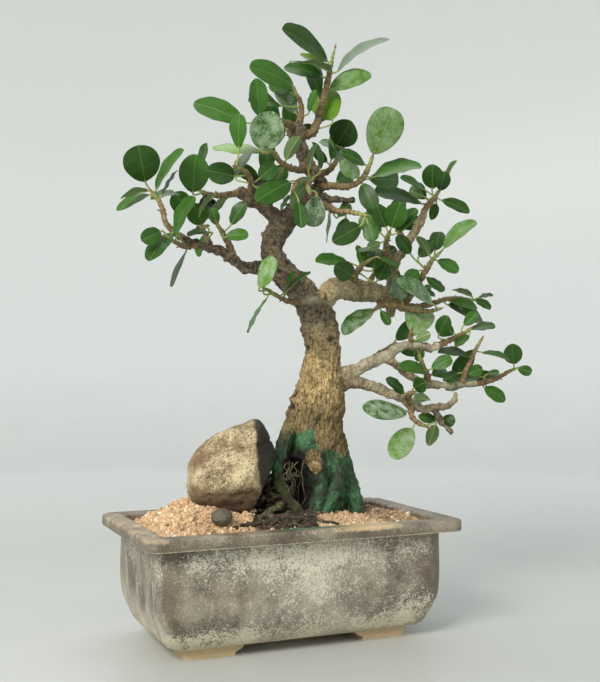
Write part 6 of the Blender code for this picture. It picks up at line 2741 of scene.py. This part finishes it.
        (5, 398, -10, 387, 14), (9, 398, 10, 421, 14), (0, 404, -18, 424, 14), (14, 392, 31, 401, 13),
    )),
    Shoot("shoot_back_left", 0, (
        ((-17, 336, -5, 2.8), (-18, 344, 12, 2.4), (-16, 352, 28, 2), (-12, 360, 42, 1.4)),
    ), (
        (-12, 362, -8, 386, 14), (-18, 356, -37, 366, 13), (-11, 358, 8, 364, 14),
    )),
    Shoot("shoot_back_middle", 0, (
        ((115, 310, 8, 3), (110, 318, 24, 2.5), (104, 328, 38, 2), (98, 336, 50, 1.4)),
    ), (
        (109, 326, 129, 332, 14), (102, 333, 112, 350, 14), (98, 334, 78, 340, 14),
    )),
    Shoot("shoot_back_right", 0, (
        ((79, 270.5, 10, 3), (80, 276, 28, 2.5), (84, 284, 42, 2), (88, 292, 54, 1.4)),
    ), (
        (90, 295, 105, 308, 14), (84, 291, 71, 304, 14), (88, 288, 109, 284, 14),
    )),
    Shoot("shoot_back_low", 0, (
        ((79, 211, -8, 2.6), (84, 216, 10, 2.2), (94, 222, 26, 1.9), (104, 228, 40, 1.4)),
    ), (
        (105, 231, 126, 247, 15), (106, 226, 128, 221, 13),
    )),
)

LOOKS = {
    ("shoot_crown_front", 0): Look.YOUNG, ("shoot_apex", 5): Look.YOUNG, ("shoot_apex", 6): Look.YOUNG,
    ("shoot_crown_far_right", 4): Look.FRESH, ("shoot_low_hanging", 1): Look.FRESH,
    ("shoot_crown_front", 2): Look.DUSTY, ("shoot_low_round", 0): Look.FRESH,
    ("shoot_crown_mid", 4): Look.DUSTY, ("shoot_limb_under", 2): Look.DUSTY,
    ("shoot_limb_under", 3): Look.DUSTY, ("shoot_fork_sprout", 0): Look.FRESH,
    ("shoot_crown_hub", 1): Look.DUSTY, ("shoot_limb_under", 0): Look.DUSTY,
    ("shoot_low_hanging", 0): Look.CHALKY, ("shoot_crown_far_right", 0): Look.LIVELY,
    ("shoot_apex", 2): Look.LIVELY, ("shoot_mid_right", 4): Look.LIVELY,
}


@dataclass
class Studio:
    """A rounded paper backdrop, soft lights, and the camera of the photograph."""

    floor_radius: float = 1400.0
    bend_radius: float = 700.0
    wall_height: float = 1700.0
    segments: int = 96
    sky: str = "#e9e9e7"
    sky_strength: float = 0.46
    target_height: float = 0.22
    # Power in watts, size in metres, place in metres from the pot, colour
    lamps: tuple[tuple[str, float, float, Triple, str], ...] = (
        ("key_soft", 30, 0.8, (-1.2, -0.9, 1.1), "#fffaf2"),
        ("fill_soft", 2.5, 1.6, (1.4, -1.2, 0.6), "#f4f6ff"),
        ("top_soft", 8, 1.2, (0.1, 0.6, 1.5), "#ffffff"),
    )

    def backdrop(self) -> None:
        """Make the floor that curves up to a wall all round."""
        profile = [(share * self.floor_radius, 0) for share in (0.12, 0.3, 0.5, 0.75, 1)]
        for step in range(1, 13):
            angle = math.pi / 2 * step / 12
            out, up = math.sin(angle), 1 - math.cos(angle)
            profile.append((self.floor_radius + self.bend_radius * out, self.bend_radius * up))
        profile.append((self.floor_radius + self.bend_radius, self.wall_height))
        points = [Vector((0, 0, 0))]
        for radius, z in profile:
            for i in range(self.segments):
                angle = 2 * math.pi * i / self.segments
                points.append(Vector((radius * math.cos(angle), radius * math.sin(angle), z)))
        faces: list[Face] = []
        for i in range(self.segments):
            following = (i + 1) % self.segments
            faces.append((0, 1 + i, 1 + following))
            for level in range(len(profile) - 1):
                low, high = 1 + level * self.segments, 1 + (level + 1) * self.segments
                faces.append((low + i, high + i, high + following, low + following))
        one_body("studio_backdrop", points, faces, [StudioPaper()])

    def light(self) -> None:
        """Set the lamps and the even light of the room."""
        target = Vector((0, 0, self.target_height))
        for name, power, size, place, colour in self.lamps:
            lamp = bpy.data.lights.new(name, "AREA")
            lamp.shape = "DISK"
            lamp.energy = power
            lamp.size = size
            lamp.color = linear(colour)[:3]
            made = bpy.data.objects.new(name, lamp)
            made.location = Vector(place)
            made.rotation_euler = (target - made.location).to_track_quat("-Z", "Y").to_euler()
            made.visible_camera = False
            bpy.context.scene.collection.objects.link(made)
        world = bpy.data.worlds.new("room_light")
        world.use_nodes = True
        background = world.node_tree.nodes["Background"]
        background.inputs["Color"].default_value = linear(self.sky)
        background.inputs["Strength"].default_value = self.sky_strength
        bpy.context.scene.world = world
        bpy.context.scene.view_settings.view_transform = "Standard"

    def aim(self) -> None:
        """Set the camera where the photograph was taken from."""
        optics = bpy.data.cameras.new("photo_camera")
        optics.lens = LENS
        optics.sensor_fit = "VERTICAL"
        optics.sensor_width = SENSOR
        optics.sensor_height = SENSOR
        optics.clip_start = 0.01
        camera = bpy.data.objects.new("photo_camera", optics)
        camera.location = (CAMERA_PLACE + POT_CENTRE) * MM
        level = math.cos(CAMERA_PITCH)
        ahead = Vector(
            (-math.sin(CAMERA_AZIMUTH) * level, math.cos(CAMERA_AZIMUTH) * level, math.sin(CAMERA_PITCH))
        )
        camera.rotation_euler = ahead.to_track_quat("-Z", "Y").to_euler()
        bpy.context.scene.collection.objects.link(camera)
        bpy.context.scene.camera = camera


def main() -> None:
    """Build every piece in order and report each."""
    logging.basicConfig(level=logging.INFO, format="%(message)s")
    soil = Soil()
    made = [Pot().build(), *DrainScreens().build(), *soil.build()]
    made += [Stone().build(), Pebble().build(), Trunk().build(), Rootlets().build(soil)]
    draw = random.Random(REAR_SEED)
    made += [shoot.build(draw, number) for number, shoot in enumerate(SHOOTS)]
    for piece in made:
        triangles = sum(len(face.vertices) - 2 for face in piece.data.polygons)
        log.info("%s: %d triangles", piece.name, triangles)
    studio = Studio()
    studio.backdrop()
    studio.light()
    studio.aim()


if __name__ == "__main__":
    main()
